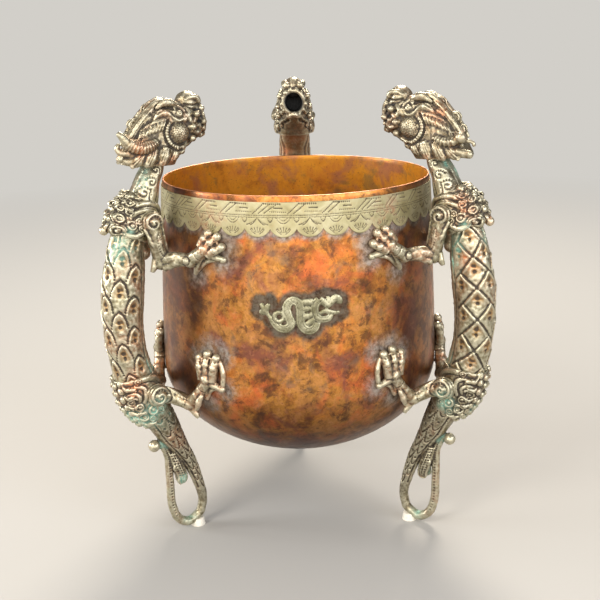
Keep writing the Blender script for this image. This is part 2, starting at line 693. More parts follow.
def headCore():
    # the plain skull with its open mouth and the hollow that takes the neck
    size = headSizes
    bm = bmesh.new()
    headLoft(bm, headStations, 0.97)
    skull = meshOf(bm, "skull")
    bm = bmesh.new()
    bmesh.ops.create_cone(bm, segments=28, radius1=1, radius2=1, depth=1, cap_ends=True,
                          matrix=Matrix.Translation(spot(46 + size["mouthDeep"] / 2 + 2, size["mouthHeight"]))
                          @ Matrix.Rotation(math.pi / 2, 4, "Y")
                          @ Matrix.Diagonal((size["mouthTall"] * mm, size["mouthWide"] * mm,
                                             (size["mouthDeep"] + 8) * mm, 1)))
    skull = cutAway(skull, meshOf(bm, "throat"), "skullMouth")
    bm = bmesh.new()
    headLoft(bm, headStations[:2], 0.76)
    bmesh.ops.translate(bm, verts=bm.verts, vec=spot(0.5, -3.4))
    return cutAway(skull, meshOf(bm, "hem"), "skullHem")


class skinOf:
    # finds a form's skin, looking straight in at it from one side
    def __init__(self, mesh):
        bm = bmesh.new()
        bm.from_mesh(mesh)
        self.tree = BVHTree.FromBMesh(bm)
        bm.free()

    def at(self, out, height, side, lift=0.0, spare=4.0):
        hit = self.tree.ray_cast(spot(out, height, side * 40), Vector((0, -side, 0)))[0]
        return spot(out, height, side * ((abs(hit.y) / mm if hit else spare) + lift))


def around(centre, radius, start, end, step=9):
    # places on an arc seen from the side, from one angle to another
    count = max(int(abs(end - start) / step), 2)
    angles = [math.radians(start + (end - start) * k / count) for k in range(count + 1)]
    return [(centre[0] + math.cos(a) * radius, centre[1] + math.sin(a) * radius) for a in angles]


def ribbed(bm, points, sizes, face, first, last, pitch):
    # a horn with raised rings round it
    strand(bm, points, sizes, face, 1.0, 14, 6)
    line, widths = smoothLine(points, sizes, 12)
    travelled = 0.0
    for index in range(1, len(line) - 1):
        travelled += (line[index] - line[index - 1]).length / mm
        if travelled < pitch or not first < index / len(line) < last:
            continue
        travelled = 0.0
        across, up, along = crossFrame(line, index, face)
        reach = widths[index] * 0.98
        loop = [line[index] + (across * math.cos(a) + up * math.sin(a)) * reach * mm
                for a in np.arange(0, 6.5, 0.45)]
        strand(bm, loop, [0.42] * len(loop), along, 1.0, 6, 2)


def headFlank(bm, skin, side, whole):
    # the forms on one side of the face. A whole side 1 has the horn with a raised tip, and -1 the hooked one.
    face = sideways * side
    size = headSizes
    cheekOut, cheekHigh, cheekRadius = size["cheek"]

    def lay(places, sizes, lift=0.0, flat=0.55, sides=10, spare=4.0, steps=5):
        points = [skin.at(out, height, side, lift, spare) for out, height in places]
        strand(bm, points, sizes, face, flat, sides, steps)

    def bead(out, height, radius, lift=0.0, spare=4.0, stretch=(1, 0.8, 1)):
        ball(bm, skin.at(out, height, side, lift, spare), radius, 3 if radius > 2 else 2, stretch)

    bead(cheekOut, cheekHigh, cheekRadius, -1.4, 8, (1, 0.66, 1))
    ridge = around((cheekOut, cheekHigh), size["crescent"], 48, -95) + [(64.2, 207.0), (60.0, 208.6), (56.2, 210.6)]
    lay(ridge, [0.6] + [1.35] * (len(ridge) - 4) + [1.2, 0.9, 0.8], 0.15, 0.7, 10, 5.0, 2)
    # muzzle: folds and lumps between the nose and the lips
    lay([(55.2, 213.6), (58.6, 212.4), (62.4, 213.6)], [0.9, 1.3, 0.9], 0.1, 0.9)
    lay([(55.0, 222.4), (57.6, 220.6), (60.6, 217.6), (62.4, 214.6)], [1.1, 1.3, 1.2, 0.8], 0.1, 0.8)
    lay([(58.6, 224.0), (61.6, 222.2), (64.6, 219.4), (66.2, 218.6)], [1.0, 1.3, 1.1, 0.7], 0.1, 0.7)
    for step in range(size["lumps"]):
        share = (step * 0.618) % 1
        out, height = 55.2 + 11.6 * share, 211.4 + 12.6 * ((step * 0.414 + 0.13) % 1)
        if (out - cheekOut) ** 2 + (height - cheekHigh) ** 2 > 33:
            bead(out, height, 0.75 + 0.55 * ((step * 0.77) % 1), -0.05)
    # nostril wing, and the knob that the nose ends in
    lay([(55.6, 226.2), (57.0, 228.6), (60.4, 229.0), (63.4, 227.6)], [1.0, 1.5, 1.4, 0.8], 0.2, 0.8, 10, 4.4)
    ball(bm, spot(56.6, 227.4, side * 3.4), 2.0, 3)
    # eye and lids
    bead(67.8, 221.9, 1.75, 0.15)
    lay(around((67.6, 221.9), 3.0, 20, 165, 24), [0.5, 0.8, 0.9, 0.9, 0.8, 0.7, 0.5], 0.2, 0.8)
    lay(around((68.4, 221.9), 3.1, -10, -165, 24), [0.5, 0.7, 0.75, 0.75, 0.7, 0.6, 0.4], 0.2, 0.8)
    # brow leaf, the almond leaf under it and their midribs
    lay([(68.4, 226.0), (71.0, 227.0), (74.4, 227.2), (79.2, 224.6)], [0.9, 1.9, 2.1, 0.6], 0.1, 0.75, 12, 5.5)
    lay([(72.0, 221.2), (74.8, 222.4), (77.6, 222.2), (81.2, 219.2)], [0.5, 1.9, 2.1, 0.4], 0.15, 0.6, 12)
    # the comb of the ear
    lay([(75.0, 219.6), (79.5, 218.9), (84.0, 216.8), (88.0, 213.6)], [0.6, 0.9, 0.9, 0.5], 0.1, 0.8)
    for ridgeIndex in range(size["combRidges"]):
        share = ridgeIndex / (size["combRidges"] - 1)
        top = (75.8 + 11.4 * share, 219.0 - 4.6 * share ** 1.4)
        lay([top, (top[0] + 0.8, top[1] - 1.9), (top[0] + 1.9, top[1] - 4.3 + 0.8 * share)],
            [0.55, 0.85, 0.3], 0.35, 1.1, 8)
    # broad locks from the brow over the back of the head
    lay([(70.6, 227.4), (76.8, 227.2), (82.0, 223.6), (87.6, 217.6), (91.6, 212.6), (94.8, 207.6)],
        [1.0, 1.7, 1.9, 1.9, 1.6, 0.8], 0.0, 0.8, 10, 2.6)
    lay([(78.6, 225.2), (83.0, 221.4), (87.2, 217.0), (90.6, 212.8), (92.8, 209.6)],
        [0.5, 1.8, 2.0, 1.8, 0.8], 0, 0.55, 12)
    lay([(81.0, 221.4), (84.6, 218.2), (88.0, 214.6), (90.8, 210.8)], [0.4, 1.6, 1.7, 0.7], 0.05, 0.6, 12)
    lay([(88.6, 210.8), (91.4, 210.0), (93.6, 207.4)], [0.6, 1.3, 0.6], 0.1, 0.7)
    # open curls that stand along the crest
    for curl in ([(77.4, 226.6), (80.4, 227.0), (83.2, 225.4), (83.2, 223.6)],
                 [(86.6, 219.6), (89.6, 219.6), (91.2, 217.4), (89.8, 215.4)],
                 [(91.0, 213.8), (93.6, 213.2), (94.2, 210.8)]):
        strand(bm, [spot(out, height, side * 1.5) for out, height in curl], [0.55] * len(curl), face, 1.2, 8, 5)
    # horn: short and worn down on the side that is not whole
    if not whole:
        line = [(80.8, 209.2), (84.8, 207.8), (88.4, 207.8), (91.0, 208.8)]
        ribbed(bm, [spot(*p, side * y) for p, y in zip(line, (8.8, 10.2, 9.8, 8.6))], [1.6, 2.4, 2.3, 1.5],
               face, 0.05, 0.8, 1.4)
        lay([(85.4, 205.2), (89.4, 204.4), (92.4, 204.8)], [1.5, 2.0, 1.4], 0.1, 0.8, 12, 7.0)
        strand(bm, spotLine((87.0, 202.2, side * 8.6), (91.0, 201.6, side * 7.4)), [1.8, 1.8], face, 0.8, 12)
    elif side > 0:
        line = [(80.6, 209.6), (85.4, 207.8), (90.8, 207.6), (94.6, 209.4), (97.4, 212.2), (100.0, 215.2)]
        ribbed(bm, [spot(*p, y) for p, y in zip(line, (9.0, 10.6, 10.8, 10.0, 9.4, 8.8))],
               [1.6, 2.6, 2.9, 2.8, 2.1, 1.2], face, 0.05, 0.70, 1.35)
        lay([(85.4, 205.2), (91.4, 204.4), (96.2, 205.2)], [1.5, 2.0, 1.8], 0.1, 0.8, 12, 7.0)
        strand(bm, spotLine((94.6, 204.8, 7.6), (98.4, 205.6, 7.0), (100.0, 207.8, 6.4), (98.6, 209.6, 6.2)),
               [1.9, 1.8, 1.3, 0.9], face, 0.9, 12, 6)
        strand(bm, spotLine((87.0, 202.0, 9.0), (93.0, 201.0, 8.4), (98.0, 201.6, 7.0)),
               [1.8, 2.2, 1.7], face, 0.8, 12)
        ball(bm, spot(98.9, 202.8, 6.8), 1.9, 3)
    else:
        line = [(81.6, 208.4), (86.6, 206.8), (91.0, 207.0), (94.4, 208.6)]
        ribbed(bm, [spot(*p, -y) for p, y in zip(line, (9.0, 10.4, 10.4, 9.6))], [1.5, 2.0, 2.2, 2.0],
               face, 0.05, 0.80, 1.5)
        ball(bm, spot(95.0, 208.9, -9.2), 2.9, 3, (1.05, 1, 0.95))
        strand(bm, spotLine((92.6, 205.8, -8), (97.2, 207.2, -7), (100.4, 206.4, -6.4), (100.6, 204.6, -6.2)),
               [0.8, 0.9, 0.9, 0.8], face, 1.2, 10, 5)
        lay([(85.4, 205.0), (90.0, 204.4), (94.6, 204.8)], [1.4, 1.8, 1.2], 0.1, 0.8, 12, 7.0)
        strand(bm, spotLine((87.0, 202.6, -9.0), (93.0, 201.8, -8.4), (98.6, 200.8, -7.0)),
               [1.8, 2.3, 1.9], face, 0.8, 12)
        ball(bm, spot(98.8, 200.9, -7.0), 2.0, 3)
    # broad beard lobes that hang over the neck
    for root, tip, width in (((67.2, 206.6), (68.8, 201.8), 2.0), ((71.2, 206.2), (73.6, 199.6), 2.6),
                             ((76.4, 206.8), (79.4, 197.9), 3.0), ((82.6, 206.6), (86.6, 197.8), 3.1),
                             ((88.0, 204.8), (93.6, 198.0), 2.7)):
        middle = ((root[0] + tip[0]) / 2 - 0.2, (root[1] + tip[1]) / 2)
        lay([root, middle, (tip[0], tip[1] + 1.2), tip], [width * 0.6, width, width * 0.62, width * 0.2],
            0.25, 0.55, 14, 9.6)
        lay([(root[0] + 2.6, root[1] - 0.6), (middle[0] + 2.8, middle[1] + 0.6), (tip[0] + 2.4, tip[1] + 2.6)],
            [0.4, 0.75, 0.3], 0.3, 0.9, 8, 9.4)


def headMarks(mesh, side):
    # creases and hatching, cut after the forms have become one skin
    size = headSizes
    cheek, crescent = size["cheek"][:2], size["crescent"]

    deep = [drawnLine(around(cheek, 5.55, 62, -128), 5), drawnLine(around(cheek, crescent + 1.35, 52, -100), 5)]
    deep += [drawnLine(places, 8) for places in (
        [(70.2, 224.0), (74.4, 224.8), (79.0, 222.6)], [(56.6, 225.6), (59.6, 225.2), (63.8, 226.0)],
        [(56.4, 209.4), (60.4, 207.4), (64.6, 205.6)], [(70.8, 221.0), (71.6, 222.4)])]
    carve(mesh, deep, 0.75, 0.46, side)
    fine = []
    for out, height in around(cheek, crescent, 40, -92, 11):
        away = Vector((out - cheek[0], 0, height - cheek[1])).normalized()
        fine.append([spot(out, height) + away * t * mm for t in np.arange(-0.9, 1.0, 0.25)])
    carve(mesh, fine, 0.26, 0.42, side)
    fine = []
    for shift in (0.0, 1.7, 3.3, 4.9, 6.6):
        lock = [(77.6 + shift * 0.3, 226.2 - shift * 0.6), (83.4 + shift * 0.1, 221.2 - shift * 0.7),
                (88.6 - shift * 0.1, 215.4 - shift * 0.7), (92.2 - shift * 0.3, 210.6 - shift * 0.6)]
        fine.append(drawnLine(lock, 14))
    for root, tip in (((67.6, 206.0), (68.8, 202.4)), ((71.6, 205.6), (73.6, 200.4)), ((76.6, 206.0), (79.3, 198.8)),
                      ((82.8, 206.0), (86.4, 198.8)), ((88.4, 204.4), (93.2, 198.8))):
        fine.append(drawnLine([root, tip], 20))
        fine.append(drawnLine([(root[0] + 1.2, root[1] - 0.6), (tip[0] + 0.7, tip[1] + 1.4)], 16))
    carve(mesh, fine, 0.30, 0.30, side)
    pits = []
    for step in range(70):
        angle, reach = step * 2.4, math.sqrt(step / 70) * 5.0
        pits.append([spot(cheek[0] + math.cos(angle) * reach, cheek[1] + math.sin(angle) * reach)])
    carve(mesh, pits, 0.30, 0.34, side)
    carve(mesh, [[spot(68.0, 222.0)]], 0.5, 0.5, side)


def makeHead(wholeSide=1):
    size = headSizes
    core = headCore()
    skin = skinOf(core)
    bm = bmesh.new()
    bm.from_mesh(core)
    ball(bm, spot(60.5, 226.0), 5.95, 4, (1.0, 0.96, 1.0))
    ball(bm, spot(66.4, 225.4), 3.2, 3, (1.2, 1.2, 0.7))
    # rough lips round the open mouth
    middle = size["mouthHeight"]
    lips = []
    for step in range(17):
        angle = step / 16 * 2 * math.pi
        lips.append(spot(54.4 + 0.5 * math.sin(angle * 2), middle + math.cos(angle) * (size["mouthTall"] + 0.9),
                         math.sin(angle) * (size["mouthWide"] + 1.1)))
    strand(bm, lips, [1.25] * 17, Vector((-1, 0, 0)), 1.0, 8, 3)
    for step in range(13):
        angle = (step + 0.5) / 13 * 2 * math.pi
        ball(bm, spot(54.6, middle + math.cos(angle) * (size["mouthTall"] + 1.7),
                      math.sin(angle) * (size["mouthWide"] + 2.0)), 1.3 + 0.35 * math.sin(step * 2.3))
    strand(bm, spotLine((56.0, 210.4, -3.6), (53.2, 211.2, 0), (56.0, 210.4, 3.6)), [1.4, 1.9, 1.4], upward, 1.0, 12)
    for side in (1, -1):
        headFlank(bm, skin, side, side == wholeSide)
        # knobs down the cheeks, which the back figure shows from in front
        for out, height, reach, radius in ((58.8, 221.2, 8.2, 1.7), (61.4, 215.2, 9.2, 1.6), (62.0, 209.8, 9.0, 1.7)):
            ball(bm, spot(out, height, side * reach), radius)
    mesh = oneSkin(meshOf(bm, "headForms", False), "head", size["voxel"], 2)
    for side in (1, -1):
        headMarks(mesh, side)
    grain(mesh, (2.2, 0.16, 2.4), (0.9, 0.07, 6.6))
    return mesh


# the two curly collars

collarSizes = {"voxel": 0.38, "core": 0.95, "lineDepth": 0.50, "lineWidth": 0.34}


def onTo(bm, skin, side, places, sizes, lift=0.0, flat=0.55, sides=10, spare=4.0, steps=4):
    # a strand laid on a form's flank
    points = [skin.at(out, height, side, lift, spare) for out, height in places]
    strand(bm, points, sizes, sideways * side, flat, sides, steps)


def ringPlaces(out, height, radius, start, turns, shrink=0.0, count=10):
    places = []
    for step in range(count + 1):
        share = step / count
        angle = math.radians(start + 360 * turns * share)
        reach = radius * (1 - shrink * share)
        places.append((out + math.cos(angle) * reach, height + math.sin(angle) * reach))
    return places


def volute(bm, skin, side, out, height, radius, start, hand, thick, lift=0.1, spare=5.0):
    # a curl that winds in to a bead
    thick *= 1.2
    places = ringPlaces(out, height, radius * 1.08 - thick * 0.5, start, 0.95 * hand, 0.42, 12)
    onTo(bm, skin, side, places, [thick * 0.6] + [thick] * 11 + [thick * 0.7], lift, 0.8, 9, spare, 3)
    ball(bm, skin.at(out, height, side, lift, spare), radius * 0.40, 3)


def sideLines(places, offsets=(0.0,)):
    # lines that follow a lock, each moved aside by one of the offsets
    line = drawnLine(places, 7)
    lines = []
    for offset in offsets:
        lines.append([line[k] + (line[k + 1] - line[k - 1]).cross(sideways).normalized() * offset * mm
                      for k in range(1, len(line) - 1)])
    return lines


def makeCollar(name, stations, rows, leaves, locks, volutes, inner, knobs=()):
    size = collarSizes
    bm = bmesh.new()
    tubeAlong(bm, stations, 8, 72, size["core"])
    core = meshOf(bm, name + "Core")
    skin = skinOf(core)
    line = bodyLine(stations, 16)
    bm = bmesh.new()
    bm.from_mesh(core)
    marks, rings = {1: [], -1: []}, []
    # rows of curls along the outer face: turn, first run, pitch, count and radius
    for turn, first, pitch, count, radius in rows:
        for hand in ((1, -1) if turn else (1,)):
            for k in range(count):
                edge = surfacePoint(line, first + k * pitch, turn * hand)
                away = (edge - surfacePoint(line, first + k * pitch, turn * hand + 180)).normalized()
                centre = edge - away * radius * 0.45 * mm
                grown = radius * (0.92 + 0.16 * noise.random())
                ball(bm, centre, grown, 3)
                flatway = away.cross(upward).normalized()
                rise = flatway.cross(away)
                rings.append([centre + (away * 0.86 + (flatway * math.cos(a) + rise * math.sin(a)) * 0.50)
                              * grown * mm for a in np.arange(0, 4.6, 0.4)])
    for out, height, radius in knobs:
        ball(bm, spot(out, height), radius, 3)
    for path, thick in leaves:
        for hand in (1, -1):
            places = [surfacePoint(line, run, turn * hand) for run, turn in path]
            strand(bm, places, [thick * 0.5] + [thick] * (len(path) - 2) + [thick * 0.4], sideways * hand, 0.9, 10, 5)
    for side in (1, -1):
        for places, sizes in locks:
            onTo(bm, skin, side, places, sizes, 0.1, 0.7, 10, 4.0, 5)
            width = max(sizes)
            marks[side] += sideLines(places, (-1.0 * width, 1.0 * width))
        for out, height, radius, start, hand, thick in volutes:
            volute(bm, skin, side, out, height, radius, start, hand, thick)
            marks[side] += sideLines(ringPlaces(out, height, radius + 0.35, start, 0.9 * hand, 0.1))
            marks[side] += sideLines(ringPlaces(out, height, radius * 0.56, start, 0.95 * hand, 0.3))
    mesh = oneSkin(meshOf(bm, name + "Forms", False), name, size["voxel"], 1)
    # the body runs through the collar
    bm = bmesh.new()
    tubeAlong(bm, inner, 8, 60)
    mesh = cutAway(mesh, meshOf(bm, name + "Bore"), name)
    carve(mesh, rings, 0.24, 0.30)
    for side in (1, -1):
        carve(mesh, marks[side], size["lineDepth"], size["lineWidth"], side)
    grain(mesh, (2.0, 0.16, 4.4), (0.9, 0.08, 1.4))
    return mesh


def makeMane():
    rows = [(30, 1.4, 3.7, 5, 2.1), (7, 3.0, 3.7, 5, 2.0)]
    leaves = [([(4.4 + start, 66), (3.4 + start, 56), (3.6 + start, 47), (2.4 + start, 39)], 1.5)
              for start in (0, 4.2, 12.6)]
    # a broad scroll of locks swept over the shoulder, and a curled hem
    locks = [([(99.0, 179.6), (94.4, 180.6), (88.6, 180.8), (83.0, 178.6), (79.6, 173.4)], [0.8, 1.5, 1.9, 1.7, 0.8]),
             ([(97.4, 175.6), (93.2, 177.6), (88.4, 178.4), (83.6, 175.6), (81.8, 170.6)], [0.8, 1.3, 1.5, 1.3, 0.7]),
             ([(96.6, 184.4), (92.0, 184.8), (87.2, 184.0), (82.0, 181.6)], [0.8, 1.4, 1.6, 0.8]),
             ([(101.0, 167.6), (98.6, 166.8), (95.6, 166.0), (92.0, 167.4), (89.4, 166.6)], [1.0, 1.5, 1.6, 1.5, 0.8])]
    volutes = [(103.4, 169.2, 2.9, 210, 1, 1.0), (97.2, 171.4, 2.6, 30, 1, 0.95), (101.8, 175.2, 2.4, 60, -1, 0.9),
               (96.2, 182.2, 2.0, 90, -1, 0.8), (93.6, 173.4, 1.8, 200, 1, 0.75), (100.6, 180.0, 1.8, 120, 1, 0.75),
               (92.6, 169.6, 1.7, 240, -1, 0.7), (97.6, 177.8, 1.7, 240, -1, 0.7)]
    return makeCollar("mane", maneStations, rows, leaves, locks, volutes, bodyStations[2:7], [(107.2, 168.4, 2.4)])


def makeHips():
    rows = [(30, 1.0, 3.5, 8, 2.0), (7, 2.8, 3.5, 7, 1.9)]
    leaves = [([(5.0 + 4.1 * k, 70), (3.6 + 4.1 * k, 58), (3.8 + 4.1 * k, 47), (2.2 + 4.1 * k, 38)], 1.35)
              for k in range(6)]
    locks = [([(104.4, 92.4), (100.4, 92.6), (95.6, 93.4), (90.4, 92.4), (86.4, 89.0)], [0.8, 1.4, 1.8, 1.7, 0.8]),
             ([(103.4, 88.4), (100.4, 90.0), (96.6, 88.6), (96.0, 84.0), (97.0, 80.6)], [0.7, 1.2, 1.4, 1.3, 0.7]),
             ([(105.0, 84.4), (101.6, 86.2), (99.0, 84.6), (99.2, 81.6)], [0.8, 1.2, 1.2, 0.6])]
    volutes = [(92.6, 76.6, 3.0, 100, 1, 1.05), (97.0, 73.0, 2.6, 60, -1, 0.95), (99.4, 78.6, 2.5, 30, 1, 0.9),
               (88.0, 76.0, 2.0, 200, 1, 0.8), (92.6, 71.2, 2.0, 0, 1, 0.8), (103.0, 81.4, 1.9, 90, 1, 0.75),
               (99.6, 92.6, 1.7, 0, -1, 0.7)]
    return makeCollar("hips", hipStations, rows, leaves, locks, volutes, bodyStations[9:14])


# the tail, its loop and its tuft

tailSizes = {"voxel": 0.38, "grooveDepth": 0.60, "grooveWidth": 0.45}


def makeTail():
    size = tailSizes
    bm = bmesh.new()
    stations = bodyStations[11:]
    tubeAlong(bm, stations, 8, 44)
    loop = [(64.8, 7.4, 2.3), (71.6, 3.5, 2.6), (78.1, 7.0, 2.4), (81.1, 16.0, 2.3), (81.4, 26.0, 2.2),
            (81.6, 36.0, 2.1), (81.9, 44.1, 2.0), (84.6, 50.6, 2.0), (88.4, 52.4, 2.2)]
    loopLine = strand(bm, [spot(*p[:2]) for p in loop], [p[2] for p in loop], sideways, 1.0, 14, 6)
    ball(bm, spot(64.8, 7.4), 2.3, 3)
    ball(bm, spot(88.9, 51.5), 3.2, 3)
    tuft = [(79.8, 45.9, 2.7), (77.1, 38.3, 3.6), (74.9, 31.3, 3.4), (74.9, 27.4, 2.2)]
    strand(bm, [spot(*p[:2]) for p in tuft], [p[2] * 0.84 for p in tuft], sideways, 1.0, 14, 6)
    marks, cells, dots = [], [], []
    for side in (1, -1):
        for shift in (-2.2, -0.75, 0.75, 2.2):
            hair = [spot(p[0] + shift * p[2] / 3.6, p[1], side * p[2] * (0.84 if abs(shift) < 1 else 0.62))
                    for p in tuft]
            strand(bm, hair, [0.5, 0.85, 0.95, 0.7], sideways * side, 1.0, 8, 5)
        for shift in (-1.5, 0, 1.5):
            marks.append([spot(p[0] + shift * p[2] / 3.6, p[1], side * p[2])
                          for p in [[a + (b - a) * t for a, b in zip(one, two)]
                                    for one, two in zip(tuft, tuft[1:]) for t in (0, 0.2, 0.4, 0.6, 0.8)]])
        scroll(bm, spot(75.1, 29.6, side * 2.2), 2.6, 0.95, 70, -side, sideways * side, 1.2)
        scroll(bm, spot(78.2, 37.4, side * 3.0), 1.9, 0.75, 60, -side, sideways * side, 1.1)
    # scales down the inner part of each flank, with a plain strip left along the outer edge
    line = bodyLine(stations, 16)
    for side in (1, -1):
        marks.append([surfacePoint(line, run, side * 48) for run in np.arange(12, 66, 0.4)])
        for column, turn in enumerate((72, 120)):
            run, step = 8.0 + (column % 2) * 5.4, 10.8
            while run < 62:
                arc = [surfacePoint(line, run + step * 0.8 * (1 - share * share), side * (turn + share * 27))
                       for share in np.arange(-1, 1.01, 0.1)]
                cells.append(arc)
                dots.append([surfacePoint(line, run + step * 0.22, side * turn)])
                run += step
                step = max(step * 0.93, 6.2)
    mesh = oneSkin(meshOf(bm, "tailForms", False), "tail", size["voxel"], 2)
    carve(mesh, cells, size["grooveDepth"], size["grooveWidth"])
    carve(mesh, dots, 0.55, 0.8, 0, 3.0)
    for side in (1, -1):
        carve(mesh, marks, size["grooveDepth"], size["grooveWidth"], side)
        carve(mesh, [list(loopLine[14:-6])], 0.45, 0.7, side)
    grain(mesh, (2.4, 0.16, 7.7), (0.9, 0.08, 2.7))
    return mesh


def makePad():
    # a moulded bumper, pressed a little hollow where the loop sits in it
    bm = bmesh.new()
    bmesh.ops.create_cone(bm, segments=48, radius1=4.0 * mm, radius2=3.2 * mm, depth=4.2 * mm, cap_ends=True,
                          matrix=Matrix.Translation(spot(66.5, 2.1)))
    sharp = [edge for edge in bm.edges if len(edge.link_faces) == 2 and edge.calc_face_angle(0) > 0.8]
    bmesh.ops.bevel(bm, geom=sharp, offset=0.45 * mm, offset_type="OFFSET", segments=4, profile=0.5,
                    affect="EDGES", material=-1, clamp_overlap=True)
    return meshOf(bm, "bumper")


# the legs

legSizes = {"arm": 7.6, "leg": 8.4, "finger": 3.4, "paw": 6.4, "voxel": 0.38, "lineDepth": 0.50, "lineWidth": 0.36,
            "slotDepth": 1.5, "slotWidth": 0.42}


def wallPlace(arc, off, height):
    # a place off the bowl's wall: round it by an arc, out by off and at a height, all in mm
    radius = bowlRadius(height)
    angle = arc / radius
    return spot((radius + off) * math.cos(angle), height, (radius + off) * math.sin(angle))


def wallFacing(arc):
    angle = arc / 73
    return Vector((math.cos(angle), math.sin(angle), 0))


def addPaw(bm, palmArc, palmOff, palmUp, tips, thumb, heel, marks, slots, pits):
    # a thick mitten of three fingers parted by deep slots, with a thumb and a heel joined to it by a fold
    size = legSizes
    thick = size["finger"] * 0.5
    palm, facing = wallPlace(palmArc, palmOff, palmUp), wallFacing(palmArc)
    ends = [wallPlace(arc, thick - 0.1, up) for arc, up in tips]
    along = (ends[1] - palm).normalized()
    across = facing.cross(along).normalized()
    ball(bm, palm + along * 0.8 * mm, size["paw"] * 0.54, 3)
    for end in ends:
        base = palm + across * (end - ends[1]).dot(across) * 0.6
        joint = base.lerp(end, 0.60) + facing * 0.8 * mm
        strand(bm, [base, joint, end], [thick * 1.35, thick * 1.28, thick * 1.12], facing, 0.95, 14, 8)
        ball(bm, end - along * 0.2 * mm + facing * 0.3 * mm, thick * 1.28, 3)
        ball(bm, joint + facing * 0.2 * mm, thick * 1.34, 3)
        for share in (0.50, 0.84):
            crease = base.lerp(end, share) + facing * 2.1 * mm
            marks.append([crease + across * t * mm for t in np.arange(-1.5, 1.6, 0.3)])
    for one, two in ((0, 1), (1, 2)):
        web = (ends[one] + ends[two]) / 2
        strand(bm, [palm, palm.lerp(web, 0.5), palm.lerp(web, 0.92)], [thick * 1.5, thick * 1.2, thick * 0.9],
               facing, 0.9, 12, 6)
        slots.append([palm.lerp(web, t) + facing * (2.1 - 0.8 * t) * mm for t in np.arange(0.44, 0.88, 0.04)])
    for step in range(9):
        turn = step * 2.4
        pits.append([palm + (across * math.cos(turn) + along * math.sin(turn)) * (0.5 + 0.3 * step) * mm
                     + facing * 2.9 * mm])
    thumbEnd, heelEnd = wallPlace(thumb[0], 1.2, thumb[1]), wallPlace(heel[0], 1.0, heel[1])
    strand(bm, [palm, palm.lerp(thumbEnd, 0.5) + facing * 0.6 * mm, thumbEnd], [2.3, 1.8, 1.5], facing, 0.95, 12, 6)
    ball(bm, thumbEnd, 1.75, 3)
    strand(bm, [palm, palm.lerp(heelEnd, 0.5) + facing * 0.5 * mm, heelEnd], [2.6, 1.9, 1.2], facing, 0.95, 12, 6)
    fold = heelEnd.lerp(thumbEnd, 0.5) * 0.66 + palm * 0.34
    strand(bm, [heelEnd, fold, thumbEnd], [0.9, 1.2, 1.0], facing, 1.0, 10, 8)
    hollow = heelEnd.lerp(thumbEnd, 0.5) * 0.45 + palm * 0.55
    slots.append([heelEnd.lerp(hollow, t) + facing * 1.2 * mm for t in np.arange(0.35, 1.1, 0.07)])


def ringMark(centre, along, radius, facing):
    across = facing.cross(along).normalized()
    up = along.cross(across).normalized()
    return [centre + (across * math.cos(a) + up * math.sin(a)) * radius * mm for a in np.arange(0, 6.3, 0.25)]


def scrollPad(bm, centre, radius, start, hand):
    # the disc with a raised spiral that a shoulder or hip ends in
    ball(bm, centre, radius, 4, (1, 0.72, 1))
    spiral = []
    for step in range(22):
        angle = math.radians(start) + hand * step * 0.42
        reach = radius * (0.86 - 0.034 * step)
        lift = radius * 0.72 * math.sqrt(max(1 - (reach / radius) ** 2, 0)) + 0.1
        spiral.append(centre + spot(math.cos(angle) * reach, math.sin(angle) * reach, lift))
    strand(bm, spiral, [0.5] + [0.85] * 20 + [0.6], sideways, 0.9, 8, 3)
    ball(bm, centre + spot(0, 0, radius * 0.72), radius * 0.20)


def padMarks(centre, radius, start, rimFrom, rimTo):
    # the groove beside the spiral and the one round the rim
    swirl = [centre + spot(math.cos(a) * r, math.sin(a) * r) for a, r in
             ((math.radians(start) - k * 0.42, radius * (0.70 - 0.034 * k)) for k in range(20))]
    rim = [centre + spot(math.cos(a) * radius, math.sin(a) * radius) for a in np.arange(rimFrom, rimTo, 0.12)]
    return [swirl, rim]


def lens(start, end, bulge, lift):
    # the outline of a long muscle between two places, as one closed line on the near face
    across = (end - start).cross(sideways).normalized()
    places = []
    for step in range(25):
        angle = step / 24 * 2 * math.pi
        along = (1 - math.cos(angle)) / 2
        places.append(start.lerp(end, along) + across * math.sin(angle) * bulge * mm + sideways * lift * mm)
    return places


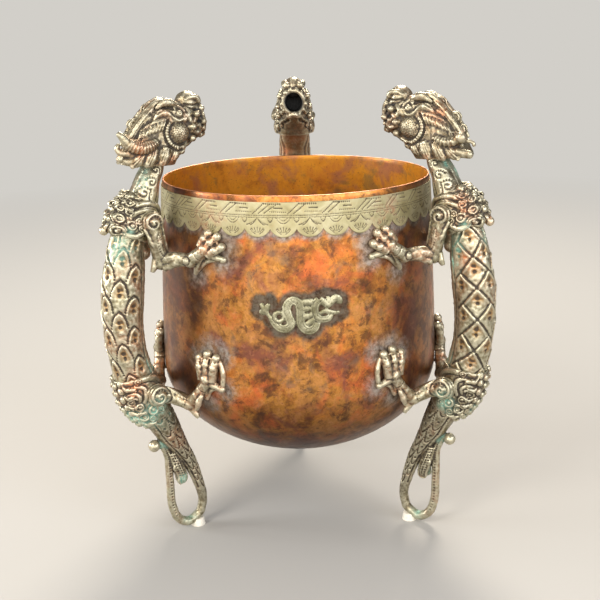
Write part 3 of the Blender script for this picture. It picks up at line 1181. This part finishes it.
def makeForeleg():
    size = legSizes
    thick = size["arm"] / 2
    bm = bmesh.new()
    shoulder, upper, elbow = spot(87.4, 172.0, 12.2), spot(85.7, 162.4, 12.8), spot(83.4, 152.0, 12.4)
    forearm, wrist = spot(79.4, 154.5, 18.6), wallPlace(22.6, 5.3, 153.6)
    palm = wallPlace(30.0, 4.0, 159.2)
    marks, slots, pits = [], [], []
    scrollPad(bm, shoulder, 5.7, 200, -1)
    strand(bm, [shoulder, upper, elbow], [thick * 1.15, thick * 1.08, thick * 1.0], sideways, 1.0, 20, 8)
    ball(bm, elbow, thick * 1.08, 3)
    strand(bm, [elbow + spot(1.6, 3.4), spot(87.4, 150.4, 12.6), spot(88.6, 147.4, 12.2)],
           [thick * 0.7, thick * 0.5, thick * 0.26], sideways, 0.9, 12, 6)
    strand(bm, [elbow, forearm, wrist], [thick * 0.96, thick * 0.80, thick * 0.72], sideways, 1.0, 18, 8)
    # the lower muscle of the forearm ends in the knob of the wrist
    strand(bm, [elbow + spot(-1.0, -1.6, 3.0), forearm + spot(0.2, -2.0, 1.4), wrist + spot(0.6, -1.6, -1.0)],
           [1.0, 2.3, 1.5], sideways, 0.9, 12, 6)
    ball(bm, wrist, thick * 0.97, 3)
    knob = wrist + (wallFacing(22.6) * 2.4 + upward * 0.2) * mm
    ball(bm, knob, 2.1, 3)
    marks.append(ringMark(knob + wallFacing(22.6) * 0.4 * mm, wallFacing(22.6), 2.2, upward))
    strand(bm, [wrist, spot(82.6, 150.4, 17.0), spot(82.3, 147.8, 14.4)], [thick * 0.55, thick * 0.50, thick * 0.24],
           sideways, 0.8, 12, 5)
    strand(bm, [wrist, palm], [thick * 0.86, size["paw"] * 0.5], sideways, 1.0, 16, 6)
    # a raised edge down the arm and the band that runs on from the shoulder's scroll
    strand(bm, [shoulder + spot(-4.6, 2.0, 1.0), upper + spot(-3.0, 1.4, 2.0), elbow + spot(-2.6, 4.0, 2.4)],
           [0.8, 1.2, 0.5], sideways, 0.9, 10, 6)
    strand(bm, [shoulder + spot(4.4, -2.6, 1.6), upper + spot(2.6, -1.0, 2.4), elbow + spot(1.8, 4.0, 2.2)],
           [0.7, 1.1, 0.5], sideways, 0.9, 10, 6)
    for shift in (-1.7, 1.8):
        marks.append([upper.lerp(elbow, t) + spot(shift + 0.5 * math.sin(5 * t), 0, 4.1)
                      for t in np.arange(-0.2, 0.85, 0.05)])
    addPaw(bm, 29.6, 4.0, 158.9, [(31.0, 167.2), (35.8, 166.0), (38.4, 161.2)], (38.8, 154.8), (21.6, 145.9),
           marks, slots, pits)
    mesh = oneSkin(meshOf(bm, "forelegForms", False), "foreleg", size["voxel"], 1)
    marks.append(ringMark(wrist.lerp(palm, 0.55), (palm - wrist).normalized(), 3.2, sideways))
    marks.append(lens(upper + spot(0.6, 4.0), elbow + spot(0.2, 3.6), 1.2, 4.2))
    marks.append(lens(elbow + spot(-1.0, -0.4), wrist + spot(1.0, -1.0, -0.6), 1.9, 3.2))
    carve(mesh, marks, size["lineDepth"], size["lineWidth"])
    carve(mesh, padMarks(shoulder, 5.7, 200, -0.4, 3.6), 0.7, 0.42, 1)
    carve(mesh, slots, size["slotDepth"], size["slotWidth"])
    carve(mesh, pits, 0.5, 0.36)
    grain(mesh, (2.2, 0.20, 1.4), (0.9, 0.08, 5.1))
    return mesh


def makeHindleg():
    size = legSizes
    thick = size["leg"] / 2
    bm = bmesh.new()
    hip, thigh = spot(90.0, 84.0, 12.2), spot(82.9, 82.4, 12.8)
    knee, ankle = wallPlace(18.4, 5.5, 79.3), wallPlace(24.0, 3.5, 84.7)
    palm = wallPlace(30.0, 2.6, 92.8)
    marks, slots, pits = [], [], []
    scrollPad(bm, hip, 5.9, 160, -1)
    strand(bm, [hip, thigh, knee], [thick * 1.08, thick * 0.98, thick * 0.84], sideways, 1.0, 20, 8)
    ball(bm, knee, thick * 0.92, 3)
    spur = wallPlace(21.2, 6.7, 71.5)
    strand(bm, [knee, knee.lerp(spur, 0.55), spur], [thick * 0.80, thick * 0.5, thick * 0.26], sideways, 0.85, 12, 6)
    strand(bm, [knee, ankle], [thick * 0.78, thick * 0.66], sideways, 1.0, 16, 6)
    ball(bm, ankle, thick * 0.74, 3)
    # the leaf-shaped dew claw over the ankle
    claw = wallPlace(23.0, 6.4, 76.4)
    strand(bm, [wallPlace(28.6, 5.2, 86.4), wallPlace(26.2, 6.4, 81.6), claw], [1.0, 2.0, 0.6],
           wallFacing(25), 0.8, 12, 6)
    marks.append([wallPlace(29.0 - 6.0 * t, 5.6 + 1.6 * math.sin(math.pi * t), 88.2 - 10.6 * t)
                  + wallFacing(60) * 2.2 * mm for t in np.arange(0, 1, 0.04)])
    strand(bm, [ankle, palm], [thick * 0.66, size["paw"] * 0.5], sideways, 1.0, 16, 6)
    strand(bm, [hip + spot(-3.4, 4.0, 1.0), thigh + spot(-0.6, 3.0, 2.2), knee + spot(2.2, 2.4, 1.4)],
           [0.8, 1.2, 0.5], sideways, 0.9, 10, 6)
    strand(bm, [hip + spot(-3.8, -3.4, 1.4), thigh + spot(-0.8, -2.6, 2.4), knee + spot(1.8, -2.2, 1.8)],
           [0.8, 1.1, 0.5], sideways, 0.9, 10, 6)
    for step in range(16):
        pits.append([thigh.lerp(knee, step / 20) + spot(0.2, 2.4 * math.sin(step * 2.1), 3.9)])
    addPaw(bm, 29.8, 2.8, 93.4, [(24.4, 104.4), (29.8, 107.2), (35.2, 105.8)], (37.8, 89.6), (27.4, 82.4),
           marks, slots, pits)
    # the outer digit runs down from the last finger to the thumb
    strand(bm, [wallPlace(36.0, 1.2, 104.4), wallPlace(38.4, 1.0, 98.0), wallPlace(37.8, 1.1, 89.6)], [1.3, 1.4, 1.3],
           wallFacing(37), 1.0, 10, 6)
    mesh = oneSkin(meshOf(bm, "hindlegForms", False), "hindleg", size["voxel"], 1)
    marks.append(ringMark(ankle.lerp(palm, 0.5), (palm - ankle).normalized(), 3.0, sideways))
    marks.append(lens(thigh + spot(2.0, 0.6), knee + spot(1.0, 0.4, -1.0), 1.5, 4.0))
    carve(mesh, marks, size["lineDepth"], size["lineWidth"])
    carve(mesh, padMarks(hip, 5.9, 160, -1.2, 4.2), 0.7, 0.42, 1)
    carve(mesh, [[hip + spot(0, 0, 5.2)]], 1.1, 0.6, 0, 3.0)
    carve(mesh, slots, size["slotDepth"], size["slotWidth"])
    carve(mesh, pits, 0.5, 0.36)
    grain(mesh, (2.2, 0.20, 9.1), (0.9, 0.08, 5.7))
    return mesh


# materials

def colour(code):
    # an sRGB hex code as linear light
    parts = [int(code[k:k + 2], 16) / 255 for k in (0, 2, 4)]
    return [part / 12.92 if part <= 0.04045 else ((part + 0.055) / 1.055) ** 2.4 for part in parts] + [1]


def join(tree, node, socket, value):
    # a link where the value is another node's output, and otherwise the socket's own value
    target = node.inputs[socket]
    if isinstance(value, bpy.types.NodeSocket):
        tree.links.new(value, target)
    else:
        target.default_value = colour(value) if isinstance(value, str) else value


def addNode(tree, kind, *values, out=0, stops=(), **settings):
    # adds a node and gives back one output. The values go to its sockets in order; of the settings, those with
    # a capital are sockets too. A second word in kind is the operation, and stops are a ramp's places and values.
    kind, *operation = kind.split()
    node = tree.nodes.new("ShaderNode" + kind)
    if operation:
        node.operation = operation[0]
    for name in [name for name in settings if name[0].islower()]:
        setattr(node, name, settings.pop(name))
    order = (0, 6, 7) if kind == "Mix" else range(len(values))  # the colour sockets of a Mix come late
    for socket, value in [*zip(order, values), *settings.items()]:
        join(tree, node, socket, value)
    for index, (place, value) in enumerate(stops):
        elements = node.color_ramp.elements
        if index == 0:
            elements.remove(elements[1])
            elements[0].position = place
        element = elements.new(place) if index else elements[0]
        element.color = colour(value) if isinstance(value, str) else (value, value, value, 1)
    return node.outputs[out] if node.outputs else None


class finishOf:
    # one material: the patterns and the marks that it reads, and the layers laid over each other
    def __init__(self, name, patterns=None, marks=()):
        self.material = bpy.data.materials.new(name)
        self.material.use_nodes = True
        self.tree = self.material.node_tree
        self.shader = self.tree.nodes["Principled BSDF"]
        self.places = self.add("TexCoord", out="Object")
        self.drawn = {mark: self.add("Attribute", attribute_name=mark, out="Fac") for mark in marks}
        for key, (size, detail, roughness, twist, *shift) in (patterns or {}).items():
            places = self.add("Mapping", self.places, *shift) if shift else self.places
            self.drawn[key] = self.add("TexNoise", Vector=places, Scale=perSize(size), Detail=detail,
                                       Roughness=roughness, Distortion=twist, out="Fac")

    def add(self, kind, *values, **settings):
        return addNode(self.tree, kind, *values, **settings)

    def over(self, base, mask, shade, strength=None, stops=()):
        # a shade laid over the base where the mask says
        if stops:
            mask = self.add("ValToRGB", mask, stops=stops)
        if strength is not None:
            mask = self.add("Math MULTIPLY", mask, strength)
        return self.add("Mix", mask, base, shade, data_type="RGBA", out=2)

    def wander(self, value, pattern, amount):
        # a value that strays up and down with a pattern
        stray = self.add("Math MULTIPLY", self.add("Math SUBTRACT", pattern, 0.5), amount)
        return self.add("Math ADD", value, stray)

    def done(self, relief, strength, depth, **sockets):
        # the shader's sockets, and a bump as deep as depth in mm
        sockets["Normal"] = self.add("Bump", Height=relief, Strength=strength, Distance=depth * mm)
        for name, value in sockets.items():
            join(self.tree, self.shader, name.replace("_", " "), value)
        return self.material


# size in mm, detail, roughness, distortion and shift of each pattern
copperPatterns = {
    "broad": (30, 3, 0.55, 0.35), "cloud": (11, 5, 0.6, 0.4, (0.3, 0.1, 0.2)),
    "fine": (2.6, 5, 0.65, 0.0, (0.1, 0.5, 0.4)), "speck": (1.1, 3, 0.6, 0.0),
    "mottle": (5, 6, 0.72, 0.6, (0.4, 0.7, 0.8)), "glow": (17, 5, 0.64, 0.3, (0.5, 0.3, 0.9)),
    "red": (15, 5, 0.66, 0.4, (0.9, 0.2, 0.6)), "plum": (19, 4, 0.62, 0.4, (0.2, 0.8, 0.3)),
    "ash": (13, 5, 0.64, 0.5, (0.6, 0.6, 0.1)), "blots": (7, 5, 0.7, 0.5, (0.1, 0.6, 0.7)),
    "dents": (3.2, 4, 0.55, 0.0)}
brassPatterns = {"cloud": (14, 4, 0.6, 0.5), "fine": (2.4, 4, 0.6, 0.0)}
castPatterns = {"cloud": (5, 4, 0.6, 0.0), "pebbles": (0.9, 2, 0.55, 0.0), "grit": (0.7, 3, 0.55, 0.0)}
bronzePatterns = {
    "cloud": (9, 4, 0.6, 0.7), "fine": (1.8, 5, 0.65, 0.0), "pink": (12, 3, 0.55, 0.8, (0.7, 0.4, 0.9)),
    "dusk": (16, 4, 0.6, 0.9, (0.2, 0.9, 0.5)), "speck": (0.8, 3, 0.6, 0.0), "grit": (0.6, 3, 0.55, 0.0)}
rubberPatterns = {"cloud": (3, 4, 0.55, 0.0), "grit": (0.5, 3, 0.55, 0.0)}


def bareCopper():
    # hand-raised copper sheet, fire-patinated: orange, red and brown clouds with grey solder halos
    made = finishOf("hand-raised copper sheet with fire patina", copperPatterns, ("inside", "soot", "halo", "scorch"))
    add, over, wander, drawn = made.add, made.over, made.wander, made.drawn
    cloud, fine, mottle, flag, halo = (drawn[key] for key in ("cloud", "fine", "mottle", "inside", "halo"))
    both = add("Math ADD", add("Math MULTIPLY", drawn["broad"], 0.55), add("Math MULTIPLY", cloud, 0.45))
    both = wander(both, fine, 0.22)
    clouds = {key: add("ValToRGB", drawn[key], stops=[(low, 0.0), (high, 1.0)]) for key, low, high in
              (("glow", 0.50, 0.62), ("red", 0.50, 0.66), ("plum", 0.51, 0.64), ("ash", 0.56, 0.66))}
    outside = add("ValToRGB", both, stops=[(0.36, "64422A"), (0.43, "8E5C2D"), (0.48, "B87F3A"),
                                           (0.53, "C4884C"), (0.58, "B47D3F"), (0.66, "825C37")])
    outside = over(outside, mottle, "643A20", stops=[(0.34, 0.5), (0.50, 0.0)])
    outside = over(outside, mottle, "E8A264", stops=[(0.52, 0.0), (0.70, 0.22)])
    outside = over(outside, clouds["glow"], add("ValToRGB", mottle, stops=[(0.36, "A8602A"), (0.60, "DC8C3E")]), 0.8)
    outside = over(outside, clouds["red"], "D46A3C", add("ValToRGB", mottle, stops=[(0.35, 0.35), (0.6, 0.85)]))
    outside = over(outside, clouds["plum"], "7C4A40", 0.85)
    outside = over(outside, clouds["ash"], "706052", 0.6)
    outside = over(outside, drawn["blots"], "54382A", stops=[(0.38, 0.7), (0.47, 0.0)])
    outside = over(outside, drawn["blots"], "F0A878", stops=[(0.56, 0.0), (0.66, 0.22)])
    inside = add("ValToRGB", both, stops=[(0.36, "905A1E"), (0.44, "C07E22"), (0.52, "CE8E28"),
                                          (0.60, "C28026"), (0.68, "88582A")])
    for key, shade, strength in (("red", "B46A30", 0.55), ("plum", "8E5A50", 0.6), ("ash", "75643C", 0.6)):
        inside = over(inside, clouds[key], shade, strength)
    colours = over(outside, flag, inside, stops=[(0.55, 0.0), (0.8, 1.0)])
    # the lip is halfway from outside to inside, and rubbed bright
    off = add("Math MULTIPLY", add("Math ABSOLUTE", add("Math SUBTRACT", flag, 0.5)), 4.0)
    colours = over(colours, add("Math SUBTRACT", 1.0, off, use_clamp=True), "E0A078")
    outer = add("ValToRGB", flag, stops=[(0.1, 1.0), (0.4, 0.0)])
    # soot behind the dragons, and the dark of the underside
    soot = add("Math MULTIPLY", drawn["soot"], add("ValToRGB", both, stops=[(0.36, 1.0), (0.60, 0.45)]))
    colours = over(colours, add("Math MULTIPLY", soot, outer), "5A4238", 0.85)
    height = add("Math MULTIPLY", add("SeparateXYZ", made.places, out=2), 10.0)
    colours = over(colours, height, "331E10", 0.92, [(0.46, 1.0), (0.92, 0.0)])
    # grey halos of heat and flux round the solder joints, and the black one round the emblem
    ragged = wander(wander(halo, cloud, 0.8), fine, 0.25)
    halo = add("Math MULTIPLY", add("ValToRGB", ragged, stops=[(0.25, 0.0), (0.95, 1.0)]),
               add("ValToRGB", halo, stops=[(0.0, 0.0), (0.2, 1.0)]))
    halo = add("Math MULTIPLY", halo, outer)
    colours = over(colours, halo, add("ValToRGB", fine, stops=[(0.38, "5C564F"), (0.62, "A29E98")]), 0.8)
    colours = over(colours, drawn["speck"], "4A2E26", stops=[(0.60, 0.0), (0.70, 0.6)])
    scorch = add("ValToRGB", wander(drawn["scorch"], cloud, 0.9), stops=[(0.20, 0.0), (0.55, 1.0)])
    colours = over(colours, add("Math MULTIPLY", scorch, outer),
                   add("ValToRGB", fine, stops=[(0.38, "26231E"), (0.62, "5E5A50")]), 0.9)
    rough = add("Math ADD", add("ValToRGB", mottle, stops=[(0.3, 0.44), (0.7, 0.30)]), add("Math MULTIPLY", halo, 0.2))
    relief = add("Math ADD", drawn["dents"], add("Math MULTIPLY", drawn["speck"], 0.5))
    return made.done(relief, 0.16, 0.14, Base_Color=colours, Roughness=rough,
                     Metallic=add("ValToRGB", flag, stops=[(0.5, 0.85), (1.0, 0.45)]))


def rolledBrass():
    # rolled brass strip, cut and engraved by hand: bright flat metal with ink-dark lines
    made = finishOf("rolled brass strip, engraved", brassPatterns, ("hollow", "halo"))
    add, over, drawn = made.add, made.over, made.drawn
    cloud, fine = drawn["cloud"], drawn["fine"]
    base = add("ValToRGB", cloud, stops=[(0.30, "8C825C"), (0.45, "A9A07A"), (0.58, "B8B08E"), (0.72, "9B906A")])
    base = over(base, fine, "B09868", stops=[(0.58, 0.0), (0.75, 0.5)])
    hollow = add("ValToRGB", drawn["hollow"], stops=[(0.22, 1.0), (0.46, 0.0)])
    brown = add("ValToRGB", add("Math ADD", cloud, add("Math MULTIPLY", fine, 0.5)), stops=[(0.66, 0.0), (0.88, 0.9)])
    brown = add("Math MULTIPLY", drawn["halo"], brown, use_clamp=True)
    rough = add("Math ADD", hollow, add("Math MULTIPLY", fine, 0.2))
    return made.done(fine, 0.12, 0.08, Base_Color=over(over(base, hollow, "3A2C1C", 0.85), brown, "9A6A4C"),
                     Metallic=add("Math SUBTRACT", 0.62, add("Math MULTIPLY", hollow, 0.5)),
                     Roughness=add("ValToRGB", rough, stops=[(0.0, 0.50), (1.0, 0.70)]))


def castBrass():
    # pale brass cast in one piece and left as cast: greenish gold, pebbled
    made = finishOf("pale brass, cast and left rough", castPatterns, ("hollow",))
    add, over, drawn = made.add, made.over, made.drawn
    base = add("ValToRGB", drawn["cloud"], stops=[(0.32, "736F55"), (0.5, "98947A"), (0.68, "B8B499")])
    base = over(base, drawn["pebbles"], "5A5434", stops=[(0.56, 0.0), (0.64, 0.65)])
    hollow = add("ValToRGB", drawn["hollow"], stops=[(0.12, 1.0), (0.45, 0.0)])
    return made.done(drawn["grit"], 0.35, 0.12, Base_Color=over(base, hollow, "2E2818", 0.85),
                     Metallic=add("Math SUBTRACT", 0.85, add("Math MULTIPLY", hollow, 0.5)),
                     Roughness=add("ValToRGB", hollow, stops=[(0.0, 0.42), (1.0, 0.65)]))


def agedBronze(name, browned):
    # white bronze cast by lost wax, rubbed bright on its edges with black-brown tarnish left in the hollows
    made = finishOf(name, bronzePatterns, ("hollow", "verdigris", "warm", "dim", "centre", "black"))
    add, over, drawn = made.add, made.over, made.drawn
    cloud, fine, height = drawn["cloud"], drawn["fine"], drawn["hollow"]
    base = add("ValToRGB", cloud, stops=[(0.30, "726A50"), (0.42, "8C8469"), (0.54, "9D967E"), (0.68, "807960")])
    base = over(base, drawn["pink"], "A67458", 0.55, [(0.50, 0.0), (0.64, 1.0)])
    base = over(base, drawn["dusk"], "665640", 0.55, [(0.54, 0.0), (0.66, 1.0)])
    base = over(base, fine, "74664C", stops=[(0.36, 0.65), (0.47, 0.0)])
    base = over(base, fine, "C2BCA4", stops=[(0.54, 0.0), (0.66, 0.6)])
    dim = add("Math MAXIMUM", add("Math MULTIPLY", drawn["dim"], 0.8), browned)
    base = over(base, dim, over("54452F", browned, "8E5A30"), add("ValToRGB", cloud, stops=[(0.35, 1.0), (0.65, 0.55)]))
    base = over(base, drawn["centre"], "B8843E", 0.6)
    base = over(base, drawn["warm"], "C87C50", add("ValToRGB", cloud, stops=[(0.4, 0.2), (0.6, 0.9)]))
    base = over(base, height, "DCD6BC", 0.5 - 0.3 * browned, [(0.60, 0.0), (0.92, 1.0)])
    hollow = add("ValToRGB", made.wander(height, fine, 0.30), stops=[(0.10, 1.0), (0.34, 0.66), (0.48, 0.0)])
    colours = over(base, hollow, "22170E", 0.93)
    colours = over(colours, drawn["speck"], "2E2418", stops=[(0.62, 0.0), (0.72, 0.75)])
    green = add("Math MULTIPLY", drawn["verdigris"], add("ValToRGB", cloud, stops=[(0.35, 0.2), (0.6, 1.0)]))
    green = add("Math MULTIPLY", green, add("ValToRGB", height, stops=[(0.55, 1.0), (0.85, 0.35)]), use_clamp=True)
    colours = over(colours, green,
                   add("ValToRGB", fine, stops=[(0.35, "4E7264"), (0.52, "84B4A0"), (0.68, "BCDCCC")]))
    black = add("ValToRGB", drawn["black"], stops=[(0.08, 0.0), (0.30, 1.0)])
    dull = add("Math MAXIMUM", add("Math MAXIMUM", add("Math MULTIPLY", hollow, 0.75), green), black)
    rough = add("Math ADD", dull, add("Math MULTIPLY", fine, 0.15))
    relief = add("Math ADD", fine, add("Math MULTIPLY", drawn["grit"], 0.5))
    return made.done(relief, 0.22, 0.12, Base_Color=over(colours, black, "060505"),
                     Metallic=add("Math SUBTRACT", 0.80, dull, use_clamp=True),
                     Roughness=add("ValToRGB", rough, stops=[(0.0, 0.33), (1.0, 0.74)]))


def mouldedRubber():
    # off-white thermoplastic rubber, moulded: soft and faintly dusty
    made = finishOf("off-white rubber, moulded", rubberPatterns)
    colours = made.add("ValToRGB", made.drawn["cloud"], stops=[(0.3, "CFCABD"), (0.6, "DED9CD"), (0.8, "C2BBAB")])
    return made.done(made.drawn["grit"], 0.2, 0.05, Base_Color=colours, Roughness=0.62, IOR=1.52)


# putting it together

def roundSpots(out, height, side, radius):
    # one place on every figure, as spots on the bowl
    spots = []
    for degrees in figureTurns.values():
        turn = math.radians(degrees)
        spots.append((out * math.cos(turn) - side * math.sin(turn), out * math.sin(turn) + side * math.cos(turn),
                      height, radius))
    return spots


def solderSpots():
    # arc and height of every place where a paw is soldered to the copper
    spots = []
    for side in (1, -1):
        for arc, up in ((28.8, 167.5), (36.4, 166.8), (39.6, 161.0), (38.4, 154.5), (22.0, 145.7), (30.0, 159.2),
                        (21.6, 103.5), (29.6, 108.1), (37.2, 106.5), (38.0, 89.3), (26.8, 81.7), (30.0, 92.8)):
            place = wallPlace(arc, 0, up) / mm
            spots += roundSpots(place.x, place.z, place.y * side, 9.5)
    return spots


def place(name, mesh, material, node, slotName):
    piece = newPiece(name, mesh)
    piece.data.materials.clear()
    piece.data.materials.append(material)
    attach(piece, "root")
    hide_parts(node)


def turnedCopy(mesh, name, degrees, flip=False):
    copy = mesh.copy()
    copy.name = name
    turn = Matrix.Rotation(math.radians(degrees), 4, "Z")
    copy.transform(turn @ Matrix.Diagonal((1, -1, 1, 1)) if flip else turn)
    if flip:
        copy.flip_normals()
    return copy


def marked(name, mesh, greens, warms, dark):
    # the attributes that the metal reads: hollows, green, copper-pink, dark and drilled places
    markHollows(mesh, "hollow", 9, 0.16)
    for mark, spots in (("verdigris", greens), ("warm", warms), ("dim", dark)):
        markSpots(mesh, mark, [(out, side, up, radius) for out, up, side, radius in spots])
    centres = []
    if name == "trunk":
        line, pitch = bodyLine(bodyStations[4:12], 16), trunkSizes["pitch"]
        for column in range(-3, 3):
            for row in range(-1, 8):
                turn = trunkSizes["firstTurn"] + column * trunkSizes["columnTurn"]
                middle = surfacePoint(line, 10.5 + row * pitch + (column % 2) * pitch / 2, turn) / mm
                centres.append((*middle, 3.4))
    markSpots(mesh, "centre", centres)
    markSpots(mesh, "black", [(out, 0, 218, 7) for out in range(58, 70, 2)] if name == "head" else [])


copper, brass, paleBrass, rubber = bareCopper(), rolledBrass(), castBrass(), mouldedRubber()
bronze = agedBronze("white bronze, lost-wax cast and aged", 0.0)
brownBronze = agedBronze("white bronze, lost-wax cast and browned", 0.75)
duskyBronze = agedBronze("white bronze, lost-wax cast and little rubbed", 0.35)
print("finishes made")

bowl = makeBowl()
hemTurns = [step * 1.25 for step in range(288)]
hemSpots = [(*(bandPoint(turn, scallopEdge(turn) - 0.4, 0) / mm), 2.6) for turn in hemTurns]
markSpots(bowl, "halo", solderSpots() + hemSpots)
markSpots(bowl, "scorch", [(*(emblemPoint(a, u, 0) / mm), 5.6) for stroke in emblemStrokes for a, u, s in stroke])
markSpots(bowl, "soot", [item for height in range(60, 175, 12) for item in roundSpots(73, height, 0, 34)])
place("copper_bowl", bowl, copper, "bowl", "patinated_copper")
print("bowl made")
band = makeBand()
markHollows(band, "hollow", 6, 0.07)
markSpots(band, "halo", [item for side in (1, -1) for item in roundSpots(66, 172, side * 27, 11)])
place("engraved_rim_band", band, brass, "rim_band", "engraved_brass")
print("band made")
place("cast_dragon_emblem", makeEmblem(), paleBrass, "front_emblem", "pale_cast_brass")
print("emblem made")

# what makes each casting, the CAD node it stands for, and where it has gone green, where copper-pink shows
# and where it stays dark: out, up, aside and radius in mm
castings = {
    "head": (makeHead, "head", [],
             [(90.0, 207.4, 10.5, 6), (73.6, 200.4, 10, 3), (79.4, 198.6, 10, 3), (79.4, 198.6, -10, 3),
              (75, 224, 9, 3), (84, 220, -9, 6)],
             [(66, 201, 0, 7), (72, 199, 0, 7)]),
    "neck": (makeNeck, "neck", [(88.6, 191.0, 4, 5), (86.0, 196.0, 3, 4), (86.0, 196.0, -3, 4)],
             [(79, 188, 6, 5)], []),
    "mane": (makeMane, "mane_collar", [(99, 168, 12, 3), (99, 168, -12, 3)],
             [(97, 176, -12, 8), (107.4, 168.4, 0, 3.6)], []),
    "trunk": (makeTrunk, "trunk",
              [(102.0, 160.0, 5, 8), (87.0, 98.0, 4, 8), (87.0, 98.0, -4, 6), (92, 158, -8, 7), (91, 148, -8, 6)],
              [(100, 150, -9, 8), (99, 96, 9, 5)],
              [(90, 155, -8, 9), (94, 158, 0, 9), (93, 100, 0, 9)]),
    "hips": (makeHips, "hip_collar", [(91.0, 75.0, 11, 8), (91.0, 75.0, -11, 6), (98.0, 72.0, 4, 8)],
             [(101, 90, 10, 6)], [(86, 74, 0, 8), (96, 82, -10, 15)]),
    "tail": (makeTail, "tail", [(85.2, 50.6, 0, 3.6), (87.0, 70.0, 3, 8), (72.0, 5.0, 0, 5), (75, 30, 3, 4)],
             [(78, 56, 4, 6)], [(82, 68, 0, 17), (76, 52, 0, 15), (69, 38, 0, 14), (64, 22, 0, 14)]),
    "foreleg": (makeForeleg, "foreleg", [], [(68, 163, 33, 6)], []),
    "hindleg": (makeHindleg, "hindleg", [(91, 80, 15, 5)], [(70, 83, 24, 9), (66, 100, 28, 9)], []),
}
darkBeard = [(out, up, side, 6.5) for out, up in ((58, 206), (64, 202)) for side in (-6, 0, 6)]

for name, (make, node, greens, warms, dark) in castings.items():
    mesh = make()
    sources = dict.fromkeys(figureTurns, mesh)
    if name == "head":
        sources["back"], sources["right"] = mesh.copy(), makeHead(-1)
        marked(name, sources["back"], greens, [], darkBeard)
        marked(name, sources["right"], greens, warms, dark)
    marked(name, mesh, greens, warms, dark)
    for figure, degrees in figureTurns.items():
        tone = brownBronze if (figure, name) == ("back", "neck") else duskyBronze if name == "head" else bronze
        for hand, flip in (("_a", False), ("_b", True)) if name.endswith("leg") else (("", False),):
            copy = turnedCopy(sources[figure], figure + name + hand[1:], degrees, flip)
            place(figure + "_" + name + hand + "_cast", copy, tone, figure + "_" + node + hand, "aged_white_bronze")
    print(name, "made:", len(mesh.polygons), "faces")
pad = makePad()
for figure, degrees in figureTurns.items():
    copy = turnedCopy(pad, figure + "Bumper", degrees)
    place(figure + "_bumper", copy, rubber, figure + "_foot_pad", "bumper_rubber")
print("figures made")


# the studio: a pale floor that fades into a pale backdrop, with soft lamps

studio = {"floorSize": 3.0, "floorColour": "ACAAA6", "backdrop": "D2CFC9", "surround": 0.13}
# place, the point each lamp looks at, width, height, power and tint
lamps = {
    "frontPanel": ((0.0, -1.7, 0.55), (0, 0, 0.12), 3.2, 1.2, 40.0, "FFFBF4"),
    "keyLamp": ((-0.75, -0.85, 0.95), (0, 0, 0.12), 0.5, 0.5, 10.0, "FFF8EE"),
    "fillLamp": ((0.95, -0.70, 0.55), (0, 0, 0.11), 0.7, 0.7, 8.0, "F4F7FF"),
    "sideLamp": ((-1.3, 0.0, 0.40), (0, 0, 0.12), 0.5, 0.5, 14.0, "FFFFFF"),
    "topLamp": ((0.05, 0.1, 1.15), (0, 0, 0.1), 0.8, 0.8, 3.0, "FFFFFF"),
    "rearLamp": ((0.15, 0.85, 1.0), (0, -0.03, 0.14), 0.5, 0.5, 18.0, "FFF4E4")}
photoCamera = {"place": (0, -0.5286, 0.2659), "down": 15.82, "roll": -1.4, "lens": 60.3, "sensor": 36, "shift": 0.0025}


def makeFloor():
    bm = bmesh.new()
    bmesh.ops.create_circle(bm, segments=96, radius=studio["floorSize"], cap_ends=True)
    floor = newPiece("studioFloor", meshOf(bm, "studioFloor"), False)
    made = finishOf("matt paper floor")
    away = made.add("VectorMath LENGTH", made.places, out="Value")
    fade = made.add("ValToRGB", made.add("Math DIVIDE", away, 2.0), stops=[(0.12, 0.0), (0.6, 1.0)])
    seen = made.add("Math MULTIPLY", fade, made.add("LightPath", out="Is Camera Ray"))
    blend = made.add("MixShader", seen, made.shader.outputs[0], made.add("Emission", studio["backdrop"], 1.0))
    for node, socket, value in ((made.shader, "Base Color", studio["floorColour"]), (made.shader, "Roughness", 0.9),
                                (made.tree.nodes["Material Output"], "Surface", blend)):
        join(made.tree, node, socket, value)
    floor.data.materials.append(made.material)


def makeLamp(name, place, target, width, height, power, tint):
    light = bpy.data.lights.new(name, "AREA")
    light.shape, light.size, light.size_y, light.energy = "RECTANGLE", width, height, power
    light.color = colour(tint)[:3]
    item = bpy.data.objects.new(name, light)
    item.location = place
    item.rotation_mode = "QUATERNION"
    item.rotation_quaternion = (Vector(target) - Vector(place)).to_track_quat("-Z", "Y")
    scene.collection.objects.link(item)


makeFloor()
for name, values in lamps.items():
    makeLamp(name, *values)

world = bpy.data.worlds.new("studio")
scene.world = world
world.use_nodes = True
world.node_tree.nodes.clear()
shown = addNode(world.node_tree, "Background", studio["backdrop"])
surround = addNode(world.node_tree, "Background", (studio["surround"],) * 3 + (1,))
seen = addNode(world.node_tree, "LightPath", out="Is Camera Ray")
addNode(world.node_tree, "OutputWorld", addNode(world.node_tree, "MixShader", seen, surround, shown))
scene.view_settings.view_transform = "Standard"

camera = bpy.data.objects.new("camera", bpy.data.cameras.new("camera"))
camera.data.lens, camera.data.sensor_width = photoCamera["lens"], photoCamera["sensor"]
camera.data.shift_x = photoCamera["shift"]
view = Matrix.Translation(photoCamera["place"]) @ Matrix.Rotation(math.radians(90 - photoCamera["down"]), 4, "X")
camera.matrix_world = view @ Matrix.Rotation(math.radians(photoCamera["roll"]), 4, "Z")
scene.collection.objects.link(camera)
scene.camera = camera

print("studio ready")
